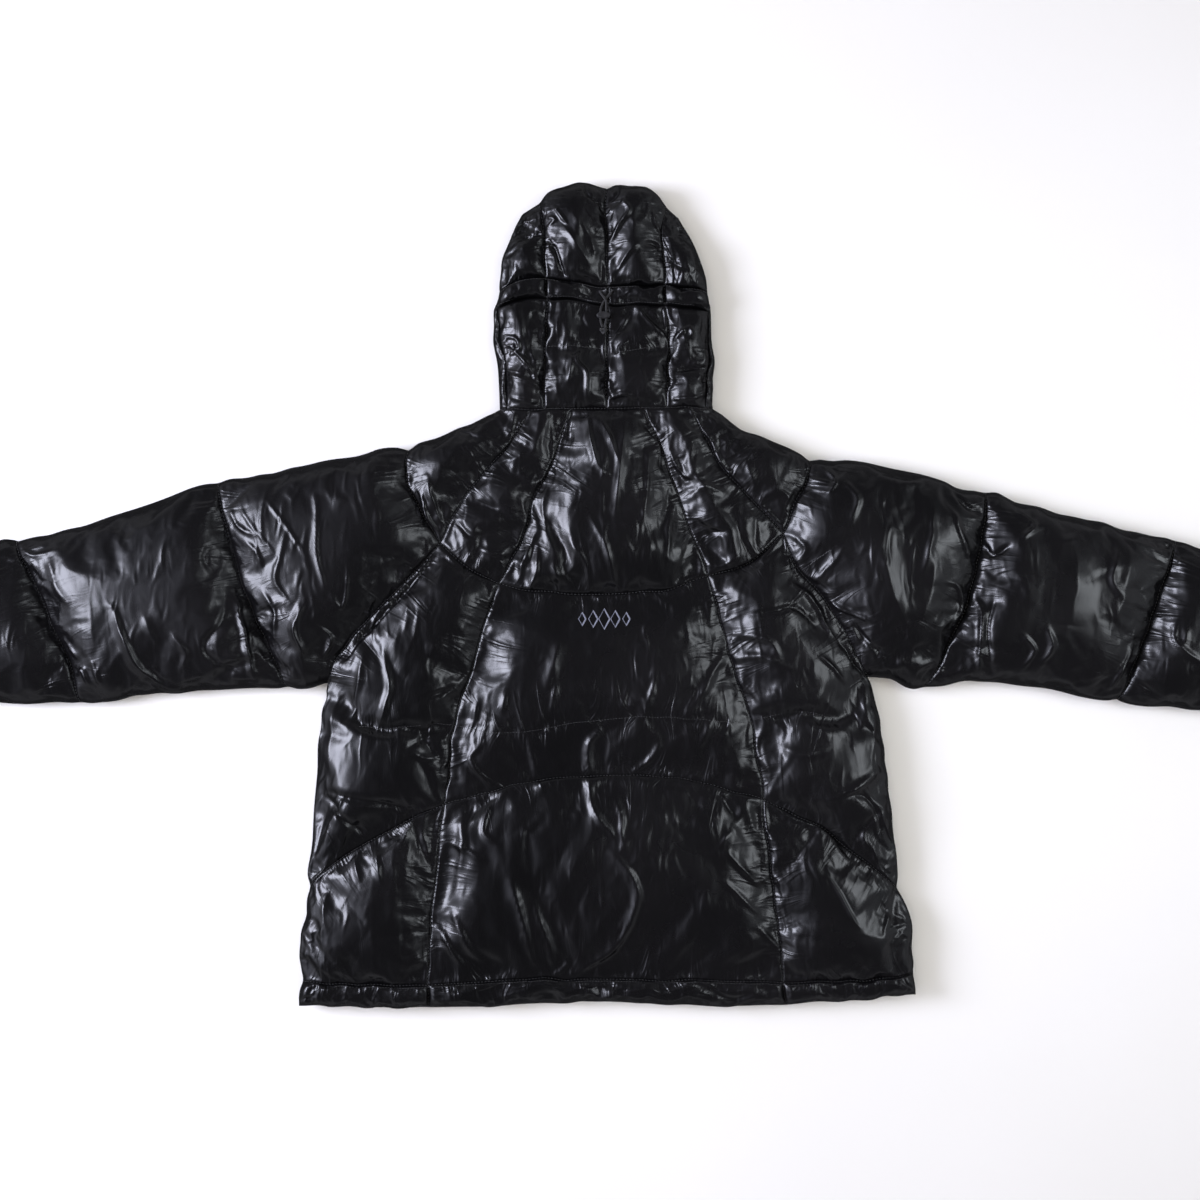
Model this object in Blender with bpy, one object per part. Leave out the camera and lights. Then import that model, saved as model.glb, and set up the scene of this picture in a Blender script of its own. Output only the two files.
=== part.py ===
"""A hooded puffer jacket laid out flat on its front, arms spread, built from its sewn pieces.

Run it with blender --background --python part.py. Units are metres, +Z is up, +Y points from the
hem to the hood and X runs across the shoulders. The origin is under the middle of the jacket, on
the surface that it lies on. The front pieces lie on that surface, and the back pieces lie on them.
Each piece is padded: a puffed outer face over a plain inside, pinched thin where it is stitched.
"""

import math

import bmesh
import bpy
import numpy as np
from mathutils import Matrix

MM = 0.001

# Sizes of the padding
FRONT_LAYER = 0.020  # the front, pressed by the weight of the back
BACK_PINCH = 0.014  # the back's thickness where it is stitched
RIM_PINCH = 0.0025  # the same at the folded side edges
RIM_PINCH_REACH = 0.030  # how far in from an edge the thinner pinch runs
FRONT_GROOVE = 0.005  # how far a front seam stands off the surface that the jacket lies on
SEAM_GAP = 0.0003  # between neighbouring pieces

# The front zip, a closed coil zip down the centre front
ZIP_HALF_WIDTH = 0.012
ZIP_TAPE_LOW = 0.0087
ZIP_TAPE_THICK = 0.0012
ZIP_COIL_HALF = 0.0025
ZIP_COIL_DEEP = 0.0018
ZIP_TOP = 0.198
ZIP_BOTTOM = -0.446

# The slider and its pull tab
PLATE_SIZE = (0.0090, 0.0140, 0.0013)  # width, length and thickness of either plate
PLATE_EDGE = 0.0003  # rounding of the plates' edges
SLIDER_CLEARANCE = 0.0003
POST_WIDTH = 0.0045
FLANGE_THICK = 0.0006
FLANGE_LENGTH = 0.0112
PIN_FORWARD = 0.0028  # how far the pin sits ahead of the plates' middle
PIN_RADIUS = 0.0007
BORE_RADIUS = 0.0010
BARREL_RADIUS = 0.0016
BARREL_LENGTH = 0.0042
EAR_THICK = 0.0008
PULL_SIZE = (0.0075, 0.0220, 0.0014)  # width, length and thickness of the grip
PULL_NECK = (0.0042, 0.0070, 0.0014)
PULL_EDGE = 0.0004
PULL_OVERLAP = 0.001  # how far the grip and the neck run into each other

# The hood's drawcord, its oval stopper and the knot in its ends
CORD_RADIUS = 0.00115
STOPPER_SIZE = (0.0150, 0.0080, 0.0056)
STOPPER_EDGE = 0.0011  # rounding of its rims
STOPPER_CENTRE = (-0.004, 0.306, 0.0399)
STOPPER_HOLE_RADIUS = 0.0016
STOPPER_HOLE_OFFSET = 0.0031
KNOT_RADII = (0.0046, 0.0034, 0.0030)
KNOT_CENTRE = (-0.0040, 0.2895, 0.0390)

SHELL_COLOUR = (0.010, 0.010, 0.012)
TRIM_COLOUR = (0.030, 0.030, 0.034)
METAL_COLOUR = (0.045, 0.045, 0.050)

# Seam and edge lines of the laid-out jacket, in millimetres: name: (intervals, [(x, y), ...]).
# A line whose name starts with rim is an outer edge, where back and front meet.
LINES = {
    # neck seam, straight across
    "neck_tip_left": (2, [(-118, 205), (-110, 205)]),
    "neck_cheek_left": (5, [(-110, 205), (-70, 205)]),
    "neck_nape_left": (6, [(-70, 205), (0, 205)]),
    "neck_nape_right": (6, [(0, 205), (64, 205)]),
    "neck_cheek_right": (5, [(64, 205), (109, 205)]),
    "neck_tip_right": (2, [(109, 205), (117, 205)]),
    "neck_shoulder_left": (5, [(-118, 205), (-85, 205)]),
    "neck_side_left": (5, [(-85, 205), (-40, 205)]),
    "neck_yoke": (14, [(-40, 205), (40, 205)]),
    "neck_side_right": (5, [(40, 205), (90, 205)]),
    "neck_shoulder_right": (5, [(90, 205), (117, 205)]),
    "neck_front_left": (4, [(-12, 205), (-85, 205)]),
    "neck_front_right": (4, [(12, 205), (90, 205)]),
    "neck_under_left": (13, [(-118, 205), (0, 205)]),
    "neck_under_right": (13, [(0, 205), (117, 205)]),
    # raglan seams from the neck to the armpits, and the shoulder seams that meet them
    "raglan_top_left": (10, [(-85, 205), (-103, 172), (-148, 117), (-174, 78), (-183, 58)]),
    "raglan_top_right": (10, [(90, 205), (117, 156), (140, 124), (167, 97), (191, 69)]),
    "raglan_low_left": (8, [(-183, 58), (-218, 19), (-268, -34), (-296, -66), (-306, -95)]),
    "raglan_low_right": (8, [(191, 69), (209, 32), (236, 0), (256, -32), (269, -59), (287, -89)]),
    "shoulder_left": (5, [(-219, 162), (-218, 128), (-207, 103), (-194, 77), (-183, 58)]),
    "shoulder_right": (5, [(223, 152), (217, 124), (204, 97), (191, 69)]),
    # yoke
    "yoke_in_left": (10, [(-40, 205), (-55, 156), (-76, 117), (-89, 74), (-117, 14)]),
    "yoke_in_right": (10, [(40, 205), (57, 165), (78, 110), (99, 55), (110, 21)]),
    "yoke_side_low_left": (5, [(-183, 58), (-154, 33), (-117, 14)]),
    "yoke_side_low_right": (5, [(191, 69), (167, 46), (144, 32), (110, 21)]),
    "yoke_low": (14, [(-117, 14), (-76, 5), (-38, 2), (0, 2), (34, 4), (72, 9), (110, 21)]),
    # long panel seams down the back, the curved waist seam and the slanted side seams
    "princess_mid_left": (13, [(-117, 14), (-131, -23), (-146, -78), (-161, -114), (-169, -151),
                               (-174, -197), (-177, -228)]),
    "princess_mid_right": (13, [(110, 21), (117, -4), (133, -59), (146, -100), (158, -138),
                                (165, -178), (171, -223)]),
    "waist": (14, [(-177, -228), (-140, -218), (-103, -206), (-62, -199), (-21, -197), (30, -196),
                   (76, -200), (121, -208), (171, -223)]),
    "slant_left": (13, [(-177, -228), (-204, -238), (-245, -261), (-291, -288), (-329, -318)]),
    "slant_right": (13, [(171, -223), (204, -238), (236, -256), (273, -284), (322, -322)]),
    "princess_low_left": (10, [(-177, -228), (-184, -266), (-190, -321), (-194, -362), (-195, -427)]),
    "princess_low_right": (10, [(171, -223), (176, -279), (184, -334), (190, -381), (192, -424)]),
    # hem band
    "hem_side_left": (13, [(-338, -421), (-291, -424), (-195, -427)]),
    "hem_centre": (14, [(-195, -427), (-131, -421), (-85, -419), (21, -419), (144, -422), (192, -424)]),
    "hem_side_right": (13, [(192, -424), (258, -421), (339, -415)]),
    "hem_join_left": (3, [(-195, -427), (-195, -453)]),
    "hem_join_right": (3, [(192, -424), (196, -450)]),
    "hem_front_left": (22, [(-338, -421), (-195, -426), (-12, -419)]),
    "hem_front_right": (22, [(339, -415), (196, -424), (12, -419)]),
    "zip_hem_left": (3, [(-12, -419), (-12, -446)]),
    "zip_hem_right": (3, [(12, -419), (12, -446)]),
    "zip_front_left": (23, [(-12, 205), (-12, -419)]),
    "zip_front_right": (23, [(12, 205), (12, -419)]),
    "rim_hem_low_left": (13, [(-338, -449), (-245, -452), (-195, -453)]),
    "rim_hem_low_centre": (14, [(-195, -453), (-129, -451), (-52, -447), (0, -446), (80, -449),
                                (144, -451), (196, -450)]),
    "rim_hem_low_right": (13, [(196, -450), (258, -444), (338, -439)]),
    "rim_hem_end_left": (3, [(-338, -421), (-338, -449)]),
    "rim_hem_end_right": (3, [(339, -415), (338, -439)]),
    "rim_hem_front_left": (22, [(-338, -449), (-195, -453), (-52, -447), (-12, -446)]),
    "rim_hem_front_right": (22, [(338, -439), (196, -450), (80, -449), (12, -446)]),
    # sleeve seams
    "elbow_seam_left": (13, [(-427, 127), (-421, 94), (-411, 56), (-389, -13), (-359, -81), (-350, -102)]),
    "elbow_seam_right": (13, [(416, 117), (415, 94), (403, 29), (382, -36), (366, -67), (348, -102)]),
    "forearm_seam_left": (13, [(-649, 63), (-635, 31), (-619, -2), (-588, -75), (-576, -119)]),
    "forearm_seam_right": (13, [(626, 62), (612, 29), (600, -9), (586, -47), (574, -81), (560, -116)]),
    "cuff_seam_left": (13, [(-840, 14), (-815, -122)]),
    "cuff_seam_right": (13, [(845, -5), (823, -137)]),
    "cuff_end_left": (13, [(-869, -4), (-851, -114)]),
    "cuff_end_right": (13, [(869, -21), (853, -129)]),
    # outer edges of shoulders and sleeves
    "rim_shoulder_left": (10, [(-118, 205), (-140, 192), (-184, 177), (-206, 169), (-219, 162)]),
    "rim_shoulder_right": (10, [(117, 205), (146, 185), (168, 175), (190, 167), (212, 158), (223, 152)]),
    "rim_upper_top_left": (11, [(-219, 162), (-250, 162), (-272, 156), (-338, 142), (-404, 130),
                                (-427, 127)]),
    "rim_upper_top_right": (11, [(223, 152), (245, 147), (268, 149), (322, 140), (366, 128), (388, 119),
                                 (416, 117)]),
    "rim_upper_low_left": (11, [(-306, -95), (-325, -101), (-350, -102)]),
    "rim_upper_low_right": (11, [(287, -89), (311, -92), (329, -100), (348, -102)]),
    "rim_middle_top_left": (12, [(-427, 127), (-448, 120), (-536, 90), (-624, 66), (-649, 63)]),
    "rim_middle_top_right": (12, [(416, 117), (432, 113), (454, 102), (498, 91), (586, 70), (626, 62)]),
    "rim_middle_low_left": (12, [(-350, -102), (-404, -103), (-492, -107), (-536, -114), (-576, -119)]),
    "rim_middle_low_right": (12, [(348, -102), (366, -100), (399, -94), (432, -95), (476, -100), (520, -110),
                                  (560, -116)]),
    "rim_lower_top_left": (10, [(-649, 63), (-668, 60), (-750, 37), (-840, 14)]),
    "rim_lower_top_right": (10, [(626, 62), (651, 52), (740, 26), (845, -5)]),
    "rim_lower_low_left": (10, [(-576, -119), (-668, -117), (-750, -120), (-815, -122)]),
    "rim_lower_low_right": (10, [(560, -116), (586, -121), (651, -125), (740, -131), (823, -137)]),
    # outer edges of the body
    "rim_side_upper_left": (13, [(-306, -95), (-309, -120), (-316, -153), (-321, -213), (-325, -268),
                                 (-329, -318)]),
    "rim_side_upper_right": (13, [(287, -89), (297, -119), (303, -153), (307, -190), (312, -240),
                                  (318, -285), (322, -322)]),
    "rim_side_lower_left": (10, [(-329, -318), (-332, -351), (-337, -384), (-338, -421)]),
    "rim_side_lower_right": (10, [(322, -322), (332, -351), (336, -384), (339, -415)]),
    # hood: outer edge, from the neck over the crown
    "rim_cheek_left": (8, [(-118, 205), (-120, 240), (-124, 285), (-123, 316)]),
    "rim_tunnel_left": (2, [(-123, 316), (-117, 336)]),
    "rim_temple_left": (8, [(-117, 336), (-116, 362), (-109, 388), (-96, 416), (-88, 424)]),
    "rim_temple_tip_left": (7, [(-88, 424), (-75, 432)]),
    "rim_crown_left": (6, [(-75, 432), (-61, 443), (-37, 452), (-19, 453), (0, 449)]),
    "rim_crown_right": (6, [(0, 449), (16, 453), (45, 447), (67, 428)]),
    "rim_temple_tip_right": (7, [(67, 428), (80, 416)]),
    "rim_temple_right": (8, [(80, 416), (91, 395), (100, 373), (108, 350), (110, 333)]),
    "rim_tunnel_right": (2, [(110, 333), (114, 311)]),
    "rim_cheek_right": (8, [(114, 311), (116, 285), (117, 249), (117, 205)]),
    # hood: casing of the face opening, seen at the lower sides
    "casing_left": (8, [(-110, 205), (-112, 249), (-117, 285), (-119, 317)]),
    "casing_right": (8, [(109, 205), (110, 249), (112, 285), (111, 312)]),
    # hood: side seams, centre seam and the drawcord tunnel across the back of the head
    "hood_low_left": (8, [(-70, 205), (-70, 249), (-68, 280), (-66, 325)]),
    "hood_low_right": (8, [(64, 205), (67, 240), (67, 280), (65, 318)]),
    "hood_mid_left": (2, [(-66, 325), (-67, 347)]),
    "hood_mid_right": (2, [(65, 318), (63, 341)]),
    "hood_top_left": (8, [(-67, 347), (-68, 372), (-70, 400), (-75, 432)]),
    "hood_top_right": (8, [(63, 341), (61, 375), (62, 405), (67, 428)]),
    "hood_low_centre": (8, [(0, 205), (0, 249), (1, 318)]),
    "hood_mid_centre": (2, [(1, 318), (1, 339)]),
    "hood_top_centre": (8, [(1, 339), (-1, 395), (-2, 422), (0, 449)]),
    "tunnel_low_tip_left": (2, [(-123, 316), (-119, 317)]),
    "tunnel_low_side_left": (5, [(-119, 317), (-99, 322), (-80, 325), (-66, 325)]),
    "tunnel_low_left": (6, [(-66, 325), (-40, 325), (-12, 319), (1, 318)]),
    "tunnel_low_right": (6, [(1, 318), (12, 317), (34, 319), (65, 318)]),
    "tunnel_low_side_right": (5, [(65, 318), (89, 316), (111, 312)]),
    "tunnel_low_tip_right": (2, [(111, 312), (114, 311)]),
    "tunnel_top_side_left": (7, [(-117, 336), (-93, 345), (-67, 347)]),
    "tunnel_top_left": (6, [(-67, 347), (-38, 345), (-11, 339), (1, 339)]),
    "tunnel_top_right": (6, [(1, 339), (34, 340), (63, 341)]),
    "tunnel_top_side_right": (7, [(63, 341), (88, 337), (110, 333)]),
    "hood_opening": (18, [(0, 205), (0, 449)]),
}

# Largest folds in the back's outer face, in millimetres: (x0, y0, x1, y1, half_width, height).
# A negative height is a trough.
FOLDS = [
    (8, -262, 27, -318, 17, 7),  # lower back, the long bent ridge
    (27, -318, 8, -365, 17, 8),
    (8, -365, -42, -402, 17, 7),
    (-21, -204, 0, -262, 16, -5),
    (-318, -222, -262, -270, 15, -8),  # left side, crease in from the edge
    (309, -190, 246, -226, 15, -8),  # right side, below the armpit
    (236, -52, 282, -92, 15, 8),
    (-430, 10, -398, -98, 16, -9),  # left sleeve, the deep fold beside its elbow seam
    (-532, -12, -486, -84, 16, 7),
    (440, 6, 446, -96, 16, -8),  # right sleeve, the same
    (486, -34, 452, -94, 15, 7),
    (-19, 196, -8, 90, 15, 6),  # yoke, the soft ridge under the neck
    (-14, 420, -4, 350, 12, -9),  # crown, beside the centre seam
    (-60, 395, -46, 352, 12, -6),
    (-108, 286, -72, 262, 12, -5),  # cheeks
    (108, 300, 76, 252, 12, 5),
]

# Where the cord lock sits, the hood's back is pulled down to this height over the front layer
PIT_CENTRE = (-0.003, 0.308)
PIT_FLAT_REACH = 0.018
PIT_REACH = 0.055
PIT_HEIGHT = 0.003

# A stitched line across the middle of the back, shallower than a seam
QUILT_LINE = [(-166, -140), (-120, -150), (-60, -142), (40, -132), (158, -138)]
QUILT_HALF_WIDTH = 0.016
QUILT_DEPTH = 0.45  # share of the loft that it takes away


def lerp(a, b, t):
    """The point a share t of the way from a to b."""
    return a + (b - a) * t


def smooth(points, steps=12):
    """A Catmull-Rom curve through the points, as a dense polyline."""
    points = np.array(points, float)
    if len(points) == 2:
        return points
    ends = [2 * points[0] - points[1], *points, 2 * points[-1] - points[-2]]
    out = []
    for before, start, end, after in zip(ends, ends[1:], ends[2:], ends[3:]):
        for t in np.arange(steps) / steps:
            out.append(0.5 * (2 * start + (end - before) * t
                              + (2 * before - 5 * start + 4 * end - after) * t ** 2
                              + (3 * start - before - 3 * end + after) * t ** 3))
    return np.array([*out, points[-1]])


def evenly(points, count):
    """The polyline cut into count pieces of equal length."""
    steps = np.linalg.norm(np.diff(points, axis=0), axis=1)
    along = np.concatenate([[0], np.cumsum(steps)])
    wanted = np.linspace(0, along[-1], count + 1)
    return np.stack([np.interp(wanted, along, points[:, axis]) for axis in (0, 1)], axis=1)


def line(name):
    """A named line's points, in metres."""
    count, points = LINES[name]
    return evenly(smooth(points), count) * MM


def apart(a, b):
    return float(np.linalg.norm(a - b))


def in_turn(pieces):
    """The pieces of line, turned so that each starts where the one before it ends."""
    first, rest = pieces[0], pieces[1:]
    if rest:
        ends = [min(apart(p, rest[0][0]), apart(p, rest[0][-1])) for p in (first[0], first[-1])]
        if ends[0] < ends[1]:
            first = first[::-1]
    turned = [first]
    for piece in rest:
        last = turned[-1][-1]
        turned.append(piece[::-1] if apart(piece[-1], last) < apart(piece[0], last) else piece)
    return turned


def chain(names):
    """Several named lines end to end, as one."""
    parts = in_turn([line(name) for name in names])
    return np.concatenate([parts[0]] + [part[1:] for part in parts[1:]])


def inset(loop, by):
    """The closed outline moved in by that much, with mitred corners."""
    edges = np.roll(loop, -1, axis=0) - loop
    area = 0.5 * np.sum(loop[:, 0] * np.roll(loop[:, 1], -1) - np.roll(loop[:, 0], -1) * loop[:, 1])
    edges /= np.linalg.norm(edges, axis=1, keepdims=True)
    inward = np.stack([-edges[:, 1], edges[:, 0]], axis=1) * np.sign(area)
    before = np.roll(inward, 1, axis=0)
    turn = 1 + np.sum(inward * before, axis=1, keepdims=True)
    return loop + by * (inward + before) / np.maximum(turn, 0.35)


def patch(bottom, right, top, left):
    """A grid of plan points that fills the four chains of lines, kept half a seam gap inside them."""
    sides = in_turn([chain(names) for names in (bottom, right, top, left)])
    counts = [len(side) - 1 for side in sides]
    if counts[0] != counts[2] or counts[1] != counts[3]:
        raise ValueError(f"opposite sides differ: {counts} in {bottom}, {right}, {top}, {left}")
    loop = inset(np.concatenate([side[:-1] for side in sides]), SEAM_GAP / 2)
    starts = np.cumsum([0] + counts)
    ring = np.concatenate([loop, loop[:1]])
    low, high_x, high, low_x = [ring[a:b + 1] for a, b in zip(starts, starts[1:])]
    high, low_x = high[::-1], low_x[::-1]
    u = np.linspace(0, 1, counts[0] + 1)[:, None, None]
    v = np.linspace(0, 1, counts[1] + 1)[None, :, None]
    across = lerp(low[:, None], high[:, None], v)
    along = lerp(low_x[None], high_x[None], u)
    corners = lerp(lerp(low[0], low[-1], u), lerp(high[0], high[-1], u), v)
    return across + along - corners


def distance(points, track):
    """How far each point lies from the polyline."""
    best = np.full(points.shape[:-1], 1e9)
    for start, end in zip(track[:-1], track[1:]):
        step = end - start
        t = np.clip((points - start) @ step / (step @ step), 0, 1)
        best = np.minimum(best, np.linalg.norm(points - start - t[..., None] * step, axis=-1))
    return best


def rounded(away, reach):
    """A quarter-round rise from 0 at the stitching to 1 at that reach."""
    t = np.clip((away - SEAM_GAP / 2) / reach, 0, 1)
    return np.sqrt(1 - (1 - t) ** 2)


RIMS = [line(name) for name in LINES if name.startswith("rim")]


def rim_distance(points):
    return np.min([distance(points, rim) for rim in RIMS], axis=0)


def fullness(points, names, seam_reach, rim_reach):
    """How far the padding fills out at each point, from 0 at a piece's edges to 1."""
    full = np.ones(points.shape[:-1])
    for name in names:
        reach = rim_reach if name.startswith("rim") else seam_reach
        full = full * rounded(distance(points, line(name)), reach)
    return full


def folds_at(points):
    """Height that the largest folds add."""
    added = np.zeros(points.shape[:-1])
    for x0, y0, x1, y1, half_width, height in FOLDS:
        track = np.array([(x0, y0), (x1, y1)]) * MM
        added += height * MM * np.exp(-(distance(points, track) / (half_width * MM)) ** 2)
    return added


def back_height(points, names, loft, seam_reach, rim_reach):
    """Height of a back piece's outer face over the surface that the jacket lies on."""
    pinch = lerp(RIM_PINCH, BACK_PINCH, rounded(rim_distance(points), RIM_PINCH_REACH))
    full = fullness(points, names, seam_reach, rim_reach)
    quilt = distance(points, smooth(QUILT_LINE) * MM)
    full = full * (1 - QUILT_DEPTH * np.exp(-(quilt / QUILT_HALF_WIDTH) ** 2))
    lift = loft * full + folds_at(points) * full
    from_lock = np.linalg.norm(points - np.array(PIT_CENTRE), axis=-1)
    share = np.clip((from_lock - PIT_FLAT_REACH) / PIT_REACH, 0, 1)
    lift = lerp(np.minimum(lift, PIT_HEIGHT), lift, share * share * (3 - 2 * share))
    return FRONT_LAYER + pinch + lift


def front_height(points, names, seam_reach, rim_reach):
    """Height of a front piece's outer face, which is flat where the jacket rests on it."""
    low = lerp(FRONT_LAYER - RIM_PINCH, FRONT_GROOVE, rounded(rim_distance(points), RIM_PINCH_REACH))
    return np.maximum(low * (1 - fullness(points, names, seam_reach, rim_reach)), 0)


def material(name, colour, roughness, metallic=0.0):
    made = bpy.data.materials.new(name)
    made.use_nodes = True
    shader = made.node_tree.nodes["Principled BSDF"]
    shader.inputs["Base Color"].default_value = (*colour, 1)
    shader.inputs["Roughness"].default_value = roughness
    shader.inputs["Metallic"].default_value = metallic
    made.diffuse_color = (*colour, 1)
    return made


def add_object(name, mesh, finish):
    made = bpy.data.objects.new(name, mesh)
    made.data.materials.append(finish)
    JACKET.objects.link(made)
    return made


FLAT_ANGLE = math.radians(0.2)  # faces that meet at less than this become one


def panel(name, sides, height, base):
    """A sewn piece: a grid in plan at that height, walled down or up to the plain inside at base."""
    plan = patch(*sides)
    names = [n for side in sides for n in side]
    heights = height(plan, names)
    columns, rows = plan.shape[0] - 1, plan.shape[1] - 1
    form = bmesh.new()
    bmesh.ops.create_grid(form, x_segments=columns, y_segments=rows, size=0.5)
    for vert in form.verts:
        i, j = round((vert.co.x + 0.5) * columns), round((vert.co.y + 0.5) * rows)
        vert.co = (*plan[i, j], heights[i, j])
    edge = [e for e in form.edges if e.is_boundary]
    walls = bmesh.ops.extrude_edge_only(form, edges=edge)["geom"]
    for vert in (g for g in walls if isinstance(g, bmesh.types.BMVert)):
        vert.co.z = base
    open_edges = [g for g in walls if isinstance(g, bmesh.types.BMEdge) and g.is_boundary]
    bmesh.ops.edgeloop_fill(form, edges=open_edges)
    bmesh.ops.dissolve_limit(form, angle_limit=FLAT_ANGLE, verts=form.verts, edges=form.edges)
    bmesh.ops.recalc_face_normals(form, faces=form.faces)
    mesh = bpy.data.meshes.new(name)
    form.to_mesh(mesh)
    form.free()
    return add_object(name, mesh, SHELL)


def back_panel(name, loft, seam_reach, rim_reach, bottom, right, top, left):
    def height(points, names):
        return back_height(points, names, loft, seam_reach, rim_reach)

    return panel(name, (bottom, right, top, left), height, FRONT_LAYER + SEAM_GAP / 2)


def front_panel(name, bottom, right, top, left):
    def height(points, names):
        return front_height(points, names, FRONT_SEAM_REACH, FRONT_RIM_REACH)

    return panel(name, (bottom, right, top, left), height, FRONT_LAYER - SEAM_GAP / 2)


# Lofts and reaches: how high each kind of piece fills out, and over what distance from its edges
BODY = (0.028, 0.046, 0.060)
YOKE = (0.026, 0.040, 0.060)
ARM = (0.034, 0.048, 0.085)
HOOD = (0.026, 0.036, 0.055)
BAND = (0.010, 0.011, 0.012)
CASING = (0.004, 0.004, 0.006)
FRONT_SEAM_REACH = 0.012
FRONT_RIM_REACH = 0.026


def build_body():
    """The back of the body: yoke, centre back, lower back and the side pieces."""
    back_panel("yoke_centre", *YOKE,
               ["yoke_low"], ["yoke_in_right"], ["neck_yoke"], ["yoke_in_left"])
    back_panel("back_centre", *BODY,
               ["waist"], ["princess_mid_right"], ["yoke_low"], ["princess_mid_left"])
    back_panel("back_lower", *BODY,
               ["hem_centre"], ["princess_low_right"], ["waist"], ["princess_low_left"])
    for side in ("left", "right"):
        back_panel(f"yoke_side_{side}", *YOKE,
                   [f"yoke_side_low_{side}"], [f"raglan_top_{side}"],
                   [f"neck_side_{side}"], [f"yoke_in_{side}"])
        back_panel(f"side_upper_{side}", *BODY,
                   [f"slant_{side}"], [f"princess_mid_{side}"],
                   [f"yoke_side_low_{side}", f"raglan_low_{side}"], [f"rim_side_upper_{side}"])
        back_panel(f"side_lower_{side}", *BODY,
                   [f"hem_side_{side}"], [f"princess_low_{side}"],
                   [f"slant_{side}"], [f"rim_side_lower_{side}"])
        back_panel(f"hem_side_{side}", *BAND,
                   [f"rim_hem_low_{side}"], [f"hem_join_{side}"],
                   [f"hem_side_{side}"], [f"rim_hem_end_{side}"])
    back_panel("hem_back", *BAND,
               ["rim_hem_low_centre"], ["hem_join_right"], ["hem_centre"], ["hem_join_left"])


SLEEVE_SEAMS = ("elbow_seam", "forearm_seam", "cuff_seam")
SLEEVE_PARTS = ("upper", "middle", "lower")


def build_sleeves():
    """Shoulder pieces and three lengths of sleeve, each with a back half and a front half."""
    for side in ("left", "right"):
        shoulder = ([f"shoulder_{side}"], [f"raglan_top_{side}"],
                    [f"neck_shoulder_{side}"], [f"rim_shoulder_{side}"])
        back_panel(f"shoulder_{side}", *YOKE, *shoulder)
        front_panel(f"shoulder_front_{side}", *shoulder)
        inner = [f"shoulder_{side}", f"raglan_low_{side}"]
        for part, seam in zip(SLEEVE_PARTS, SLEEVE_SEAMS):
            outer = [f"{seam}_{side}"]
            half = ([f"rim_{part}_low_{side}"], outer, [f"rim_{part}_top_{side}"], inner)
            back_panel(f"sleeve_{part}_{side}", *ARM, *half)
            front_panel(f"sleeve_{part}_front_{side}", *half)
            inner = outer
        build_cuff(side)


CUFF_LOW, CUFF_HIGH = 0.003, 0.033
CUFF_SLIT_HALF = 0.0006
CUFF_WALL = 0.006  # at the folded edges
CUFF_AROUND = 20
CUFF_ALONG = 3
CUFF_WAIST = 0.0015  # how far the elastic draws in the middle of the band


def ring(low, high, half_low, half_high, middle):
    """Points round a flattened tube whose plan runs from low to high."""
    points = []
    for k in range(CUFF_AROUND):
        angle = 2 * math.pi * k / CUFF_AROUND
        across = 0.5 - 0.5 * math.cos(angle)
        lift = math.copysign(abs(math.sin(angle)) ** 0.6, math.sin(angle))
        z = middle + (half_high if lift > 0 else half_low) * lift
        points.append((*lerp(low, high, across), z))
    return points


def build_cuff(side):
    """The elastic cuff: a flattened padded band, open through its middle."""
    start, end = line(f"cuff_seam_{side}"), line(f"cuff_end_{side}")
    form = bmesh.new()
    outer, inner = [], []
    for k in range(CUFF_ALONG + 1):
        t = k / CUFF_ALONG
        low, high = lerp(start[-1], end[-1], t), lerp(start[0], end[0], t)
        out = (end[0] - start[0]) / apart(end[0], start[0])
        nudge = out * SEAM_GAP * (1 - t)
        across = (high - low) / apart(high, low)
        low, high = low + nudge, high + nudge
        draw = CUFF_WAIST * math.sin(math.pi * t)
        outer.append([form.verts.new(p) for p in ring(
            low + across * draw, high - across * draw,
            FRONT_LAYER - CUFF_LOW - draw, CUFF_HIGH - FRONT_LAYER - draw, FRONT_LAYER)])
        inner.append([form.verts.new(p) for p in ring(
            low + across * CUFF_WALL, high - across * CUFF_WALL,
            CUFF_SLIT_HALF, CUFF_SLIT_HALF, FRONT_LAYER)])
    rings = [*outer, *reversed(inner), outer[0]]
    for here, there in zip(rings, rings[1:]):
        for k in range(CUFF_AROUND):
            after = (k + 1) % CUFF_AROUND
            form.faces.new((here[k], here[after], there[after], there[k]))
    bmesh.ops.recalc_face_normals(form, faces=form.faces)
    mesh = bpy.data.meshes.new(f"cuff_{side}")
    form.to_mesh(mesh)
    form.free()
    add_object(f"cuff_{side}", mesh, SHELL)


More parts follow.
